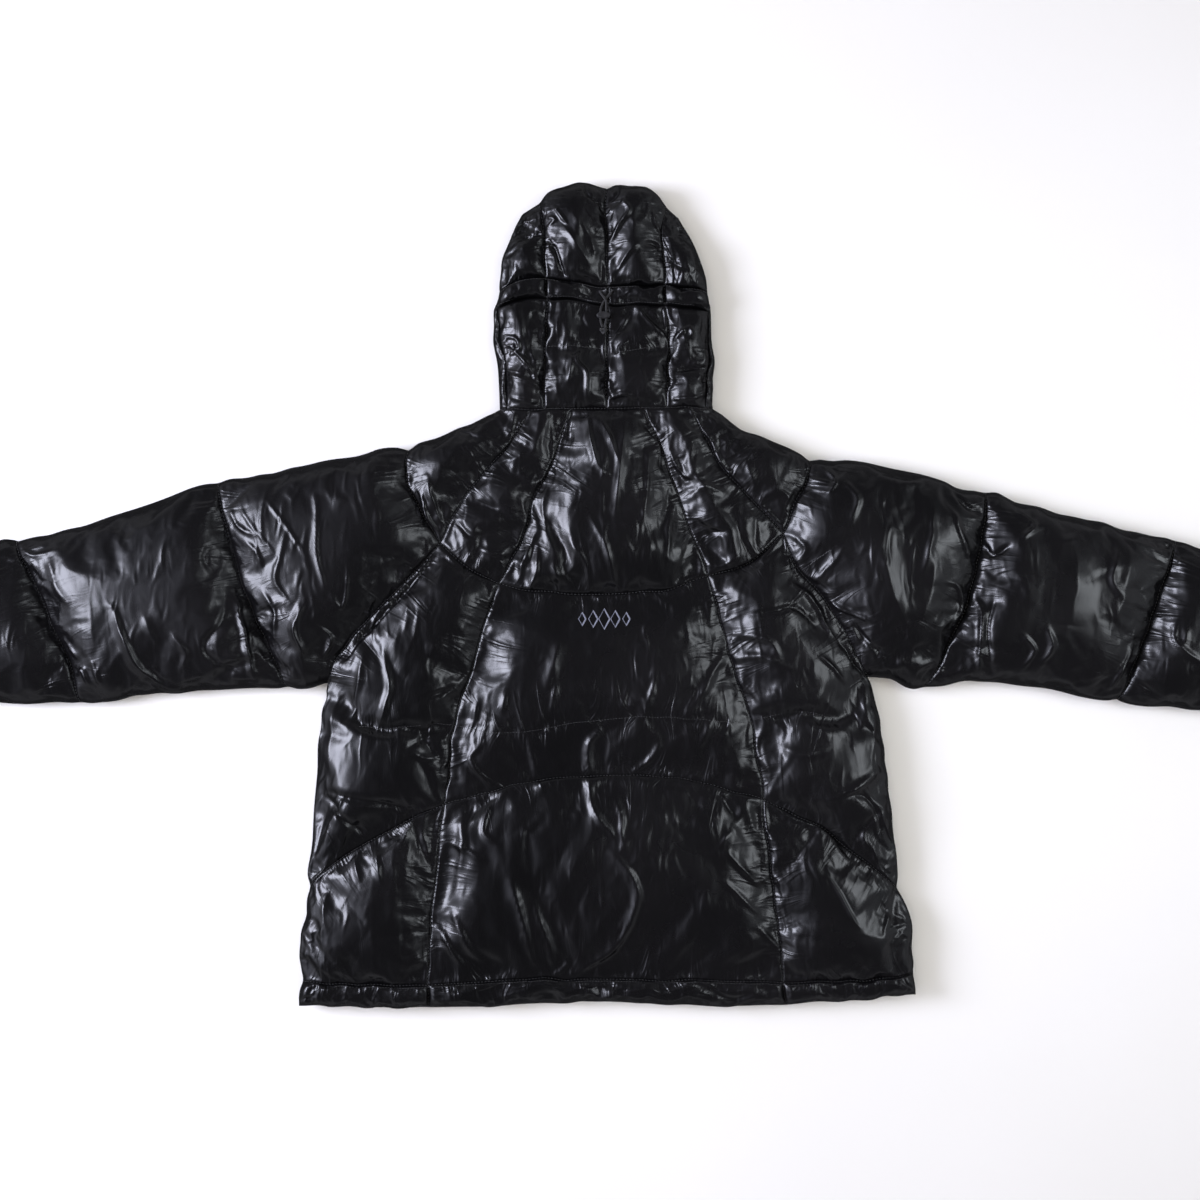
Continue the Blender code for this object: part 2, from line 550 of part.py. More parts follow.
def build_hood():
    """The hood's back, in four columns with a drawcord tunnel across it, and its folded-under sides."""
    for side in ("left", "right"):
        back_panel(f"hood_crown_{side}", *HOOD,
                   [f"tunnel_top_{side}"], [f"hood_top_{side}"],
                   [f"rim_crown_{side}"], ["hood_top_centre"])
        back_panel(f"hood_temple_{side}", *HOOD,
                   [f"tunnel_top_side_{side}"], [f"hood_top_{side}"],
                   [f"rim_temple_tip_{side}"], [f"rim_temple_{side}"])
        back_panel(f"hood_tunnel_{side}", *BAND,
                   [f"tunnel_low_{side}"], [f"hood_mid_{side}"],
                   [f"tunnel_top_{side}"], ["hood_mid_centre"])
        back_panel(f"hood_tunnel_side_{side}", *BAND,
                   [f"tunnel_low_tip_{side}", f"tunnel_low_side_{side}"], [f"hood_mid_{side}"],
                   [f"tunnel_top_side_{side}"], [f"rim_tunnel_{side}"])
        back_panel(f"hood_nape_{side}", *HOOD,
                   [f"neck_nape_{side}"], [f"hood_low_{side}"],
                   [f"tunnel_low_{side}"], ["hood_low_centre"])
        back_panel(f"hood_cheek_{side}", *HOOD,
                   [f"neck_cheek_{side}"], [f"hood_low_{side}"],
                   [f"tunnel_low_side_{side}"], [f"casing_{side}"])
        back_panel(f"hood_casing_{side}", *CASING,
                   [f"neck_tip_{side}"], [f"casing_{side}"],
                   [f"tunnel_low_tip_{side}"], [f"rim_cheek_{side}"])
        front_panel(f"hood_under_{side}",
                    [f"neck_under_{side}"], ["hood_opening"],
                    [f"rim_temple_tip_{side}", f"rim_crown_{side}"],
                    [f"rim_cheek_{side}", f"rim_tunnel_{side}", f"rim_temple_{side}"])


def build_front():
    """The two fronts and the front of the hem band, either side of the zip."""
    for side in ("left", "right"):
        front_panel(f"front_{side}",
                    [f"hem_front_{side}"], [f"zip_front_{side}"],
                    [f"neck_front_{side}", f"raglan_top_{side}", f"raglan_low_{side}"],
                    [f"rim_side_upper_{side}", f"rim_side_lower_{side}"])
        front_panel(f"hem_front_{side}",
                    [f"rim_hem_front_{side}"], [f"zip_hem_{side}"],
                    [f"hem_front_{side}"], [f"rim_hem_end_{side}"])


def join(base, other, how="UNION"):
    """Cuts or joins other into base, and removes it."""
    step = base.modifiers.new(how.lower(), "BOOLEAN")
    step.operation, step.object, step.solver = how, other, "EXACT"
    bpy.context.view_layer.update()
    result = bpy.data.meshes.new_from_object(base.evaluated_get(bpy.context.evaluated_depsgraph_get()))
    base.modifiers.remove(step)
    base.data = result
    bpy.data.objects.remove(other)
    return base


def block(name, size, centre, finish, bevel=0.0):
    """A box of that size, its edges rounded by bevel."""
    bpy.ops.mesh.primitive_cube_add(size=1)
    made = bpy.context.object
    made.name, made.location = name, centre
    made.data.transform(Matrix.Diagonal((*size, 1)))
    if bevel:
        form = bmesh.new()
        form.from_mesh(made.data)
        bmesh.ops.bevel(form, geom=form.edges, offset=bevel, segments=2, affect="EDGES", profile=0.5)
        form.to_mesh(made.data)
        form.free()
    return adopt(made, finish)


AXIS_TURNS = {"X": (0, math.pi / 2, 0), "Y": (math.pi / 2, 0, 0), "Z": (0, 0, 0)}


def rod(name, radius, length, centre, axis, finish, sides=16):
    """A cylinder of that radius along the axis."""
    bpy.ops.mesh.primitive_cylinder_add(radius=radius, depth=length, vertices=sides,
                                        location=centre, rotation=AXIS_TURNS[axis])
    made = bpy.context.object
    made.name = name
    return adopt(made, finish)


def adopt(made, finish):
    """Moves a new primitive into the jacket's collection, with its place in its mesh."""
    bpy.context.view_layer.update()
    made.data.transform(made.matrix_world)
    made.matrix_world.identity()
    made.location, made.rotation_euler, made.scale = (0, 0, 0), (0, 0, 0), (1, 1, 1)
    made.data.name = made.name
    made.data.materials.clear()
    made.data.materials.append(finish)
    for owner in made.users_collection:
        owner.objects.unlink(made)
    JACKET.objects.link(made)
    return made


def build_zip():
    """Closed coil zip: one strip of tape with the coil along its outer side, a slider and a pull."""
    half = ZIP_HALF_WIDTH - SEAM_GAP / 2
    length, middle = ZIP_TOP - ZIP_BOTTOM, (ZIP_TOP + ZIP_BOTTOM) / 2
    tape = block("zip", (2 * half, length, ZIP_TAPE_THICK),
                 (0, middle, ZIP_TAPE_LOW + ZIP_TAPE_THICK / 2), TRIM)
    coil_overlap = ZIP_TAPE_THICK / 2
    coil = block("coil", (2 * ZIP_COIL_HALF, length, ZIP_COIL_DEEP + coil_overlap),
                 (0, middle, ZIP_TAPE_LOW - (ZIP_COIL_DEEP - coil_overlap) / 2), TRIM)
    join(tape, coil)

    # The slider wraps the zip's top end: an outer and an inner plate joined by a post
    width, depth, thick = PLATE_SIZE
    post_y = ZIP_TOP + SLIDER_CLEARANCE
    centre_y = post_y - depth / 2 + FLANGE_THICK * 2
    outer_z = ZIP_TAPE_LOW - ZIP_COIL_DEEP - SLIDER_CLEARANCE * 2 - thick / 2
    inner_z = ZIP_TAPE_LOW + ZIP_TAPE_THICK + SLIDER_CLEARANCE + thick / 2
    slider = block("zip_slider", PLATE_SIZE, (0, centre_y, outer_z), METAL, PLATE_EDGE)
    join(slider, block("inner", PLATE_SIZE, (0, centre_y, inner_z), METAL, PLATE_EDGE))
    post_depth = centre_y + depth / 2 - post_y - PLATE_EDGE
    join(slider, block("post", (POST_WIDTH, post_depth, inner_z - outer_z),
                       (0, post_y + post_depth / 2, (inner_z + outer_z) / 2), METAL))
    flange_high = ZIP_TAPE_LOW - SLIDER_CLEARANCE
    for x in (-1, 1):
        join(slider, block("flange", (FLANGE_THICK, FLANGE_LENGTH, flange_high - outer_z),
                           (x * (width / 2 - FLANGE_THICK), centre_y, (flange_high + outer_z) / 2),
                           METAL))
    pin_y = centre_y + PIN_FORWARD
    pin_z = outer_z - thick / 2 - BARREL_RADIUS - SLIDER_CLEARANCE
    ear_x = BARREL_LENGTH / 2 + SLIDER_CLEARANCE + EAR_THICK / 2
    ear_low = pin_z - BARREL_RADIUS
    for x in (-1, 1):
        join(slider, block("ear", (EAR_THICK, 2 * BARREL_RADIUS, outer_z - ear_low),
                           (x * ear_x, pin_y, (outer_z + ear_low) / 2), METAL))
    join(slider, rod("pin", PIN_RADIUS, 2 * ear_x, (0, pin_y, pin_z), "X", METAL, sides=12))

    pull = rod("zip_pull", BARREL_RADIUS, BARREL_LENGTH, (0, pin_y, pin_z), "X", METAL, sides=20)
    neck_y = pin_y - PULL_NECK[1] / 2 - BARREL_RADIUS / 2
    join(pull, block("neck", PULL_NECK, (0, neck_y, pin_z), METAL))
    grip_y = neck_y - PULL_NECK[1] / 2 - PULL_SIZE[1] / 2 + PULL_OVERLAP
    join(pull, block("grip", PULL_SIZE, (0, grip_y, pin_z), METAL, PULL_EDGE))
    join(pull, rod("bore", BORE_RADIUS, 2 * BARREL_LENGTH, (0, pin_y, pin_z), "X", METAL, sides=16),
         "DIFFERENCE")
    for made in (slider, pull):
        # The parts are flat or faceted, and their curved faces are drawn smooth
        made.data.shade_smooth()
        made.data.set_sharp_from_angle(angle=math.radians(35))


# Each strand of the drawcord, in millimetres: from its eyelet in the tunnel, across the other strand,
# through the stopper to the knot
CORD_ROUTES = {
    "left": [(-8, 333, 37.1), (-6, 329, 37.5), (-3, 325, 39.3), (-1, 321, 39.8), (-0.9, 316, 39.9),
             (-0.9, 310, 39.9), (-0.9, 302, 39.9), (-1.6, 298, 38.9), (-3, 293.5, 38.0)],
    "right": [(6, 334, 37.0), (3, 330, 36.7), (0, 326, 36.5), (-3, 322, 36.7), (-6, 316, 38.4),
              (-7.1, 310, 39.9), (-7.1, 302, 39.9), (-6.6, 298, 38.9), (-5, 293.5, 38.0)],
}


def build_drawcord():
    """Two strands of elastic cord, an oval stopper that both run through, and the knot in their ends."""
    x, y, z = STOPPER_CENTRE
    stopper = rod("cord_lock", 0.5, 1.0, (0, 0, 0), "Z", TRIM, sides=24)
    stopper.data.transform(Matrix.Diagonal((*STOPPER_SIZE, 1)))
    form = bmesh.new()
    form.from_mesh(stopper.data)
    sharp = [e for e in form.edges if e.calc_face_angle(0) > math.radians(60)]
    bmesh.ops.bevel(form, geom=sharp, offset=STOPPER_EDGE, segments=2, affect="EDGES", profile=0.5)
    form.to_mesh(stopper.data)
    form.free()
    stopper.data.transform(Matrix.Translation(STOPPER_CENTRE))
    for side in (-1, 1):
        hole = rod("hole", STOPPER_HOLE_RADIUS, STOPPER_SIZE[1] * 2,
                   (x + side * STOPPER_HOLE_OFFSET, y, z), "Y", TRIM, sides=12)
        join(stopper, hole, "DIFFERENCE")

    for side, route in CORD_ROUTES.items():
        add_cord(f"drawcord_{side}", np.array(route) * MM)

    bpy.ops.mesh.primitive_uv_sphere_add(segments=12, ring_count=8, radius=1)
    knot = bpy.context.object
    knot.name, knot.location = "drawcord_knot", KNOT_CENTRE
    knot.data.transform(Matrix.Diagonal((*KNOT_RADII, 1)))
    adopt(knot, TRIM)


def add_cord(name, knots):
    """A round cord on a smooth curve through the knots, with a point for about every two diameters."""
    dense = smooth(knots, steps=8)
    steps = np.linalg.norm(np.diff(dense, axis=0), axis=1)
    along = np.concatenate([[0], np.cumsum(steps)])
    count = int(along[-1] / (4 * CORD_RADIUS)) + 1
    wanted = np.linspace(0, along[-1], count + 1)
    points = np.stack([np.interp(wanted, along, dense[:, axis]) for axis in range(3)], axis=1)
    curve = bpy.data.curves.new(name, "CURVE")
    curve.dimensions = "3D"
    curve.bevel_depth, curve.bevel_resolution, curve.use_fill_caps = CORD_RADIUS, 2, True
    spline = curve.splines.new("POLY")
    spline.points.add(len(points) - 1)
    for spot, co in zip(spline.points, points):
        spot.co = (*co, 1)
    add_object(name, curve, TRIM)


for old in list(bpy.data.objects):
    bpy.data.objects.remove(old)
JACKET = bpy.data.collections.new("puffer_jacket")
bpy.context.scene.collection.children.link(JACKET)
SHELL = material("black_nylon", SHELL_COLOUR, 0.3)
TRIM = material("black_trim", TRIM_COLOUR, 0.55)
METAL = material("black_metal", METAL_COLOUR, 0.35, metallic=1.0)

build_body()
build_sleeves()
build_hood()
build_front()
build_zip()
build_drawcord()
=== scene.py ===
"""Looks of a hooded puffer jacket that lies on its front: shell cloth, cord, zip, thread, light."""

import math
from collections import namedtuple

import bmesh
import bpy
import numpy as np
from mathutils import Matrix, Vector


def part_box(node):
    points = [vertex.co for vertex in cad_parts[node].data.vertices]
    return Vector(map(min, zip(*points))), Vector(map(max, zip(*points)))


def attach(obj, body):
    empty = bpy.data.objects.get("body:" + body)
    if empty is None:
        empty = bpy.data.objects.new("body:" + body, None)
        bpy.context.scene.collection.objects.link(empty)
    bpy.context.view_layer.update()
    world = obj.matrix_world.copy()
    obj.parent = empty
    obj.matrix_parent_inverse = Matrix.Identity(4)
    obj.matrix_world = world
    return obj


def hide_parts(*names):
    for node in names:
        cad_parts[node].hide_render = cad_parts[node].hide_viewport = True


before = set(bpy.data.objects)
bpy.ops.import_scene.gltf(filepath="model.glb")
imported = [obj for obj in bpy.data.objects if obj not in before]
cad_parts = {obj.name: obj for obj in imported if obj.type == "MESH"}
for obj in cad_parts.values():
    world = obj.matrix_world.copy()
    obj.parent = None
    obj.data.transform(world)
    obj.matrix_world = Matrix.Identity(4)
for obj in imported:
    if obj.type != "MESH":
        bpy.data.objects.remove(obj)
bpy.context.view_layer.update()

scene = bpy.context.scene

# ---- Camera ---------------------------------------------------------------------------------
# It looks straight down on the jacket's back from two metres. Its frame takes in the whole body
# and the hood, and the sleeves as far as a hand's width above the cuffs.

camera = bpy.data.objects.new("camera", bpy.data.cameras.new("camera"))
camera.data.lens = 54.5
camera.location = (-0.0077, -0.0044, 2.02)
scene.collection.objects.link(camera)
scene.camera = camera
scene.view_settings.view_transform = "Standard"

# ---- Drawcord -------------------------------------------------------------------------------
# Two strands of black elastic braid leave eyelets in the hood's tunnel, cross, run through the
# stopper and end in one knot. They are round cord, 2.3 mm thick.

MM = 0.001
CORD_RADIUS = 0.00115
# Each strand's route, in millimetres
CORD_ROUTES = {
    "left": [(-8, 333, 37.1), (-6, 329, 37.5), (-3, 325, 39.3), (-1, 321, 39.8), (-0.9, 316, 39.9),
             (-0.9, 310, 39.9), (-0.9, 302, 39.9), (-1.6, 298, 38.9), (-3, 293.5, 38.0)],
    "right": [(6, 334, 37.0), (3, 330, 36.7), (0, 326, 36.5), (-3, 322, 36.7), (-6, 316, 38.4),
              (-7.1, 310, 39.9), (-7.1, 302, 39.9), (-6.6, 298, 38.9), (-5, 293.5, 38.0)],
}
STRAND_STEPS = 24


def smooth(points, steps=12):
    """A Catmull-Rom curve through the points, as a dense polyline."""
    points = np.array(points, float)
    if len(points) == 2:
        return points
    ends = [2 * points[0] - points[1], *points, 2 * points[-1] - points[-2]]
    out = []
    for before, start, end, after in zip(ends, ends[1:], ends[2:], ends[3:]):
        for t in np.arange(steps) / steps:
            out.append(0.5 * (2 * start + (end - before) * t
                              + (2 * before - 5 * start + 4 * end - after) * t ** 2
                              + (3 * start - before - 3 * end + after) * t ** 3))
    return np.array([*out, points[-1]])


def evenly(points, count):
    """The polyline cut into count pieces of equal length."""
    along = np.concatenate([[0], np.cumsum(np.linalg.norm(np.diff(points, axis=0), axis=1))])
    wanted = np.linspace(0, along[-1], count + 1)
    return np.stack([np.interp(wanted, along, column) for column in points.T], axis=1)


def length_of(points):
    return float(np.linalg.norm(np.diff(points, axis=0), axis=1).sum())


def linear(code):
    """An sRGB hex colour as linear red, green, blue and alpha."""
    parts = [int(code[k:k + 2], 16) / 255 for k in (1, 3, 5)]
    return (*[p / 12.92 if p <= 0.04045 else ((p + 0.055) / 1.055) ** 2.4 for p in parts], 1.0)


def feed(node, feeds):
    """Sets a node's inputs, each to a value, a socket, or another node's first output."""
    for key, value in feeds.items():
        if isinstance(value, bpy.types.Node):
            value = value.outputs[0]
        if isinstance(value, bpy.types.NodeSocket):
            node.id_data.links.new(value, node.inputs[key])
        else:
            node.inputs[key].default_value = value


def add(tree, kind, feeds=None, stops=(), **settings):
    """Adds a shader node. A ramp's stops are each a place, and a hex colour or a grey value."""
    made = tree.nodes.new(f"ShaderNode{kind}")
    for key, value in settings.items():
        setattr(made, key, value)
    if stops:
        band = made.color_ramp.elements
        for _ in stops[2:]:
            band.new(0.5)
        for stop, (at, value) in zip(band, stops):
            stop.position = at
            stop.color = linear(value) if isinstance(value, str) else (value, value, value, 1)
    feed(made, feeds or {})
    return made


def new_material(name, **fixed):
    """A material, its tree, its shader with those fixed values, and a point's place on a piece."""
    made = bpy.data.materials.new(name)
    made.use_nodes = True
    tree = made.node_tree
    shader = tree.nodes["Principled BSDF"]
    feed(shader, {key.replace("_", " "): value for key, value in fixed.items()})
    return made, tree, shader, add(tree, "TexCoord").outputs["Object"]


WAVE_BAND = 2 * math.pi / 20  # what one band of a wave texture takes up at a scale of 1


def scale_for(size, unit=1.0):
    """The scale of a pattern whose cells, or bands with that unit, are size millimetres wide."""
    return round(unit / (size * MM))


# Polyester braid is dull, with a faint sheen. Its strands are drawn coarser than they are
braid, tree, shader, place = new_material("cord_braid", Roughness=0.72, Sheen_Weight=0.25)
strands_and_painted_shade = add(tree, "TexVoronoi", {"Vector": place, "Scale": scale_for(0.6667)}, feature="F1")
feed(shader, {
    # The colour is painted: the strands' crowns paler and the gaps between them darker, a painted
    # highlight and painted shade
    "Base Color": add(tree, "ValToRGB", {"Fac": strands_and_painted_shade}, [(0.1, "#2b2b2f"), (0.7, "#0d0d0f")]),
    "Normal": add(tree, "Bump", {"Height": strands_and_painted_shade, "Strength": 0.6, "Distance": 0.0003},
                  invert=True),
})


def cloth_object(name, mesh, finish, node=None):
    """Adds a piece that rides on the jacket, and stands for its CAD node if it has one."""
    made = bpy.data.objects.new(name, mesh)
    scene.collection.objects.link(made)
    made.data.materials.append(finish)
    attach(made, "jacket")
    if node:
        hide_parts(node)
    return made


def cord_curve(name, points, node):
    """A stretch of the cord along those points."""
    curve = bpy.data.curves.new(name, "CURVE")
    curve.dimensions = "3D"
    curve.bevel_depth, curve.bevel_resolution, curve.use_fill_caps = CORD_RADIUS, 3, True
    spline = curve.splines.new("POLY")
    spline.points.add(len(points) - 1)
    for spot, co in zip(spline.points, points):
        spot.co = (*co, 1)
    return cloth_object(name, curve, braid, node)


# The knot is a tight trefoil of the same cord, a little longer across than it is high
KNOT_CENTRE = np.array((-0.0040, 0.2895, 0.0390))
KNOT_SIZE = (0.00115, 0.00082, 0.00082)
turns = np.linspace(0, 2 * math.pi, 61)[:-1]
loop = np.stack([np.sin(turns) + 2 * np.sin(2 * turns), np.cos(turns) - 2 * np.cos(2 * turns),
                 -1.6 * np.sin(3 * turns)], axis=1) * KNOT_SIZE
knot = cord_curve("cord_knot", np.concatenate([loop, loop[:2]]) + KNOT_CENTRE, "drawcord_knot")

# The stopper is a flat oval of black rubber with a rounded rim and two holes side by side
STOPPER_SIZE = (0.0150, 0.0080, 0.0056)
STOPPER_CENTRE = (-0.004, 0.306, 0.0399)
STOPPER_ROUNDING = 0.0013
STOPPER_HOLE_RADIUS, STOPPER_HOLE_OUT = 0.0016, 0.0031


def mesh_from(form, name):
    """The finished form as a mesh."""
    mesh = bpy.data.meshes.new(name)
    form.to_mesh(mesh)
    form.free()
    return mesh


form = bmesh.new()
bmesh.ops.create_cone(form, segments=72, radius1=0.5, radius2=0.5, depth=1, cap_ends=True,
                      matrix=Matrix.Diagonal((*STOPPER_SIZE, 1)))
rims = [e for e in form.edges if e.calc_face_angle(0) > 1]
bmesh.ops.bevel(form, geom=rims, offset=STOPPER_ROUNDING, segments=5, affect="EDGES", profile=0.5)
stopper_mesh = mesh_from(form, "cord_stopper")
stopper_mesh.transform(Matrix.Translation(STOPPER_CENTRE))
# Moulded rubber is half dull, with a fine grain and a paler bloom in patches
rubber, tree, shader, place = new_material("stopper_rubber", Roughness=0.4)
grain = add(tree, "TexNoise", {"Vector": place, "Scale": scale_for(0.3846), "Detail": 2})
bloom = add(tree, "TexNoise", {"Vector": place, "Scale": scale_for(4.17), "Detail": 3})
feed(shader, {
    "Base Color": add(tree, "ValToRGB", {"Fac": bloom}, [(0.35, "#1b1b1d"), (0.7, "#2a2a2d")]),
    "Normal": add(tree, "Bump", {"Height": grain, "Strength": 0.3, "Distance": 0.0001}),
})
stopper = cloth_object("cord_stopper", stopper_mesh, rubber, "cord_lock")
middle, *rest = STOPPER_CENTRE
for side in (-1, 1):
    bpy.ops.mesh.primitive_cylinder_add(
        radius=STOPPER_HOLE_RADIUS, depth=2 * STOPPER_SIZE[1], vertices=24,
        location=(middle + side * STOPPER_HOLE_OUT, *rest), rotation=(math.pi / 2, 0, 0))
    drill = bpy.context.object
    step = stopper.modifiers.new("hole", "BOOLEAN")
    step.operation, step.solver, step.object = "DIFFERENCE", "EXACT", drill
    bpy.context.view_layer.update()
    graph = bpy.context.evaluated_depsgraph_get()
    drilled = bpy.data.meshes.new_from_object(stopper.evaluated_get(graph))
    stopper.modifiers.remove(step)
    stopper.data = drilled
    bpy.data.objects.remove(drill)
stopper.data.shade_smooth()
stopper.data.set_sharp_from_angle(angle=math.radians(40))

for side, route in CORD_ROUTES.items():
    points = evenly(smooth(np.array(route) * MM), STRAND_STEPS)
    strand = cord_curve(f"cord_{side}", points, f"drawcord_{side}")

# ---- Shell cloth ----------------------------------------------------------------------------
# The whole outside is black nylon, closely woven, with a glossy coating that gives sharp sheens on
# deep black. It holds fine crinkles wherever it has been folded, and puckers along every seam.

RIDGED = {"noise_type": "RIDGED_MULTIFRACTAL", "normalize": True}
shell, tree, shader, place = new_material("black_nylon", IOR=1.52)
tone = add(tree, "TexNoise", {"Vector": place, "Scale": scale_for(167), "Detail": 4,
                              "Roughness": 0.6})
tint = add(tree, "ValToRGB", {"Fac": tone}, [(0.3, "#060607"), (0.7, "#0c0b0d")])
polish = add(tree, "ValToRGB", {"Fac": tone}, [(0.3, 0.22), (0.7, 0.31)])
# Fine crinkles, in patches, drawn out along the jacket
drawn_out = add(tree, "VectorMath", {0: place, 1: (1.0, 0.4, 1.0)}, operation="MULTIPLY")
crinkle = add(tree, "TexNoise", {"Vector": drawn_out, "Scale": scale_for(12.5), "Detail": 3,
                                 "Roughness": 0.6, "Distortion": 0.5}, **RIDGED)
patchy = add(tree, "TexNoise", {"Vector": place, "Scale": scale_for(91), "Detail": 2})
where = add(tree, "ValToRGB", {"Fac": patchy}, [(0.42, 0.25), (0.60, 1.0)])
crinkle = add(tree, "Math", {0: crinkle, 1: where}, operation="MULTIPLY")
lift = add(tree, "Bump", {"Height": crinkle, "Strength": 1.0, "Distance": 0.0018})
# Thin straight creases from being packed away, one way and then another, up to about 100 mm
# long: their direction, how far apart and how high
for degrees, spacing, height in ((28, 21.7, 0.0008), (-20, 16.7, 0.0007), (75, 26.3, 0.0007)):
    pressed_at = add(tree, "Mapping", {"Vector": place, "Scale": (1.0, 0.16, 1.0),
                                       "Rotation": (0, 0, math.radians(degrees))})
    streaks = add(tree, "TexNoise", {"Vector": pressed_at, "Scale": scale_for(spacing),
                                     "Detail": 1, "Distortion": 0.3}, **RIDGED)
    streaks = add(tree, "ValToRGB", {"Fac": streaks}, [(0.45, 0.0), (0.85, 1.0)])
    spots = add(tree, "TexNoise", {"Vector": pressed_at, "Scale": scale_for(62.5), "Detail": 1})
    spots = add(tree, "ValToRGB", {"Fac": spots}, [(0.5, 0.0), (0.62, 1.0)])
    streaks = add(tree, "Math", {0: streaks, 1: spots}, operation="MULTIPLY")
    lift = add(tree, "Bump", {"Height": streaks, "Strength": 1.0, "Distance": height,
                              "Normal": lift})
# The weave, drawn three times as coarse as it is so that it shows close by
weave = add(tree, "TexWave", {"Vector": place, "Scale": scale_for(0.349, WAVE_BAND),
                              "Distortion": 0.0})
lift = add(tree, "Bump", {"Height": weave.outputs["Fac"], "Strength": 0.05, "Distance": 0.0001,
                          "Normal": lift})
# Puckers along the seams, 4 to 6 mm apart, that lean this way and that and come in groups: short
# ones, and streaks that run on for 60 mm. Every shell piece stores where its seams are
along, away, alone = [add(tree, "Attribute", attribute_name=name).outputs["Fac"]
                      for name in ("seam_along", "seam_away", "seam_alone")]
along_only = add(tree, "CombineXYZ", {"X": along})
lean = add(tree, "TexNoise", {"Vector": along_only, "Scale": scale_for(35.7), "Detail": 1})
lean = add(tree, "ValToRGB", {"Fac": lean}, [(0.3, 0.0), (0.7, 1.0)])
lean = add(tree, "Math", {0: lean, 1: 0.5}, operation="SUBTRACT")
lean = add(tree, "Math", {0: lean, 1: away}, operation="MULTIPLY")
leaning = add(tree, "Math", {0: lean, 1: 1.8, 2: along}, operation="MULTIPLY_ADD")
groups = add(tree, "TexNoise", {"Vector": along_only, "Scale": scale_for(18.2), "Detail": 1})
groups = add(tree, "ValToRGB", {"Fac": groups}, [(0.38, 0.25), (0.58, 1.0)])
pucker_at = add(tree, "CombineXYZ", {"X": leaning, "Y": away})
# Each layer's breadth over its length, spacing and length in millimetres, and height
for spread, spacing, length, height in ((0.30, 4.35, 16.67, 0.0015), (0.12, 6.25, 62.5, 0.0014)):
    stretched = add(tree, "VectorMath", {0: pucker_at, 1: (1.0, spread, 1.0)},
                    operation="MULTIPLY")
    pucker = add(tree, "TexNoise", {"Vector": stretched, "Scale": scale_for(spacing), "Detail": 2,
                                    "Roughness": 0.5, "Distortion": 0.6}, **RIDGED)
    near = add(tree, "Math", {0: away, 1: scale_for(length)}, operation="MULTIPLY")
    near = add(tree, "ValToRGB", {"Fac": near}, [(0.0, 1.0), (0.4, 0.5), (1.0, 0.0)])
    for share in (near, alone, groups):
        pucker = add(tree, "Math", {0: pucker, 1: share}, operation="MULTIPLY")
    lift = add(tree, "Bump", {"Height": pucker, "Strength": 1.0, "Distance": height,
                              "Normal": lift})
feed(shader, {"Base Color": tint, "Roughness": polish, "Normal": lift})

# ---- Seams and edges ------------------------------------------------------------------------
# Every piece is cut to these lines, in millimetres on the laid-out jacket: how many steps each is
# cut in for its pieces, then its points. A name that starts with rim is an outer edge.

MIDDLE_LINES = {
    "neck_yoke": (14, [(-40, 205), (40, 205)]),
    "yoke_low": (14, [(-117, 14), (-76, 5), (-38, 2), (0, 2), (34, 4), (72, 9), (110, 21)]),
    "waist": (14,
        [(-177, -228), (-140, -218), (-103, -206), (-62, -199), (-21, -197), (30, -196), (76, -200),
         (121, -208), (171, -223)]),
    "hem_centre": (14,
        [(-195, -427), (-131, -421), (-85, -419), (21, -419), (144, -422), (192, -424)]),
    "rim_hem_low_centre": (14,
        [(-195, -453), (-129, -451), (-52, -447), (0, -446), (80, -449), (144, -451), (196, -450)]),
    "hood_low_centre": (8, [(0, 205), (0, 249), (1, 318)]),
    "hood_mid_centre": (2, [(1, 318), (1, 339)]),
    "hood_top_centre": (8, [(1, 339), (-1, 395), (-2, 422), (0, 449)]),
    "hood_opening": (18, [(0, 205), (0, 449)]),
}
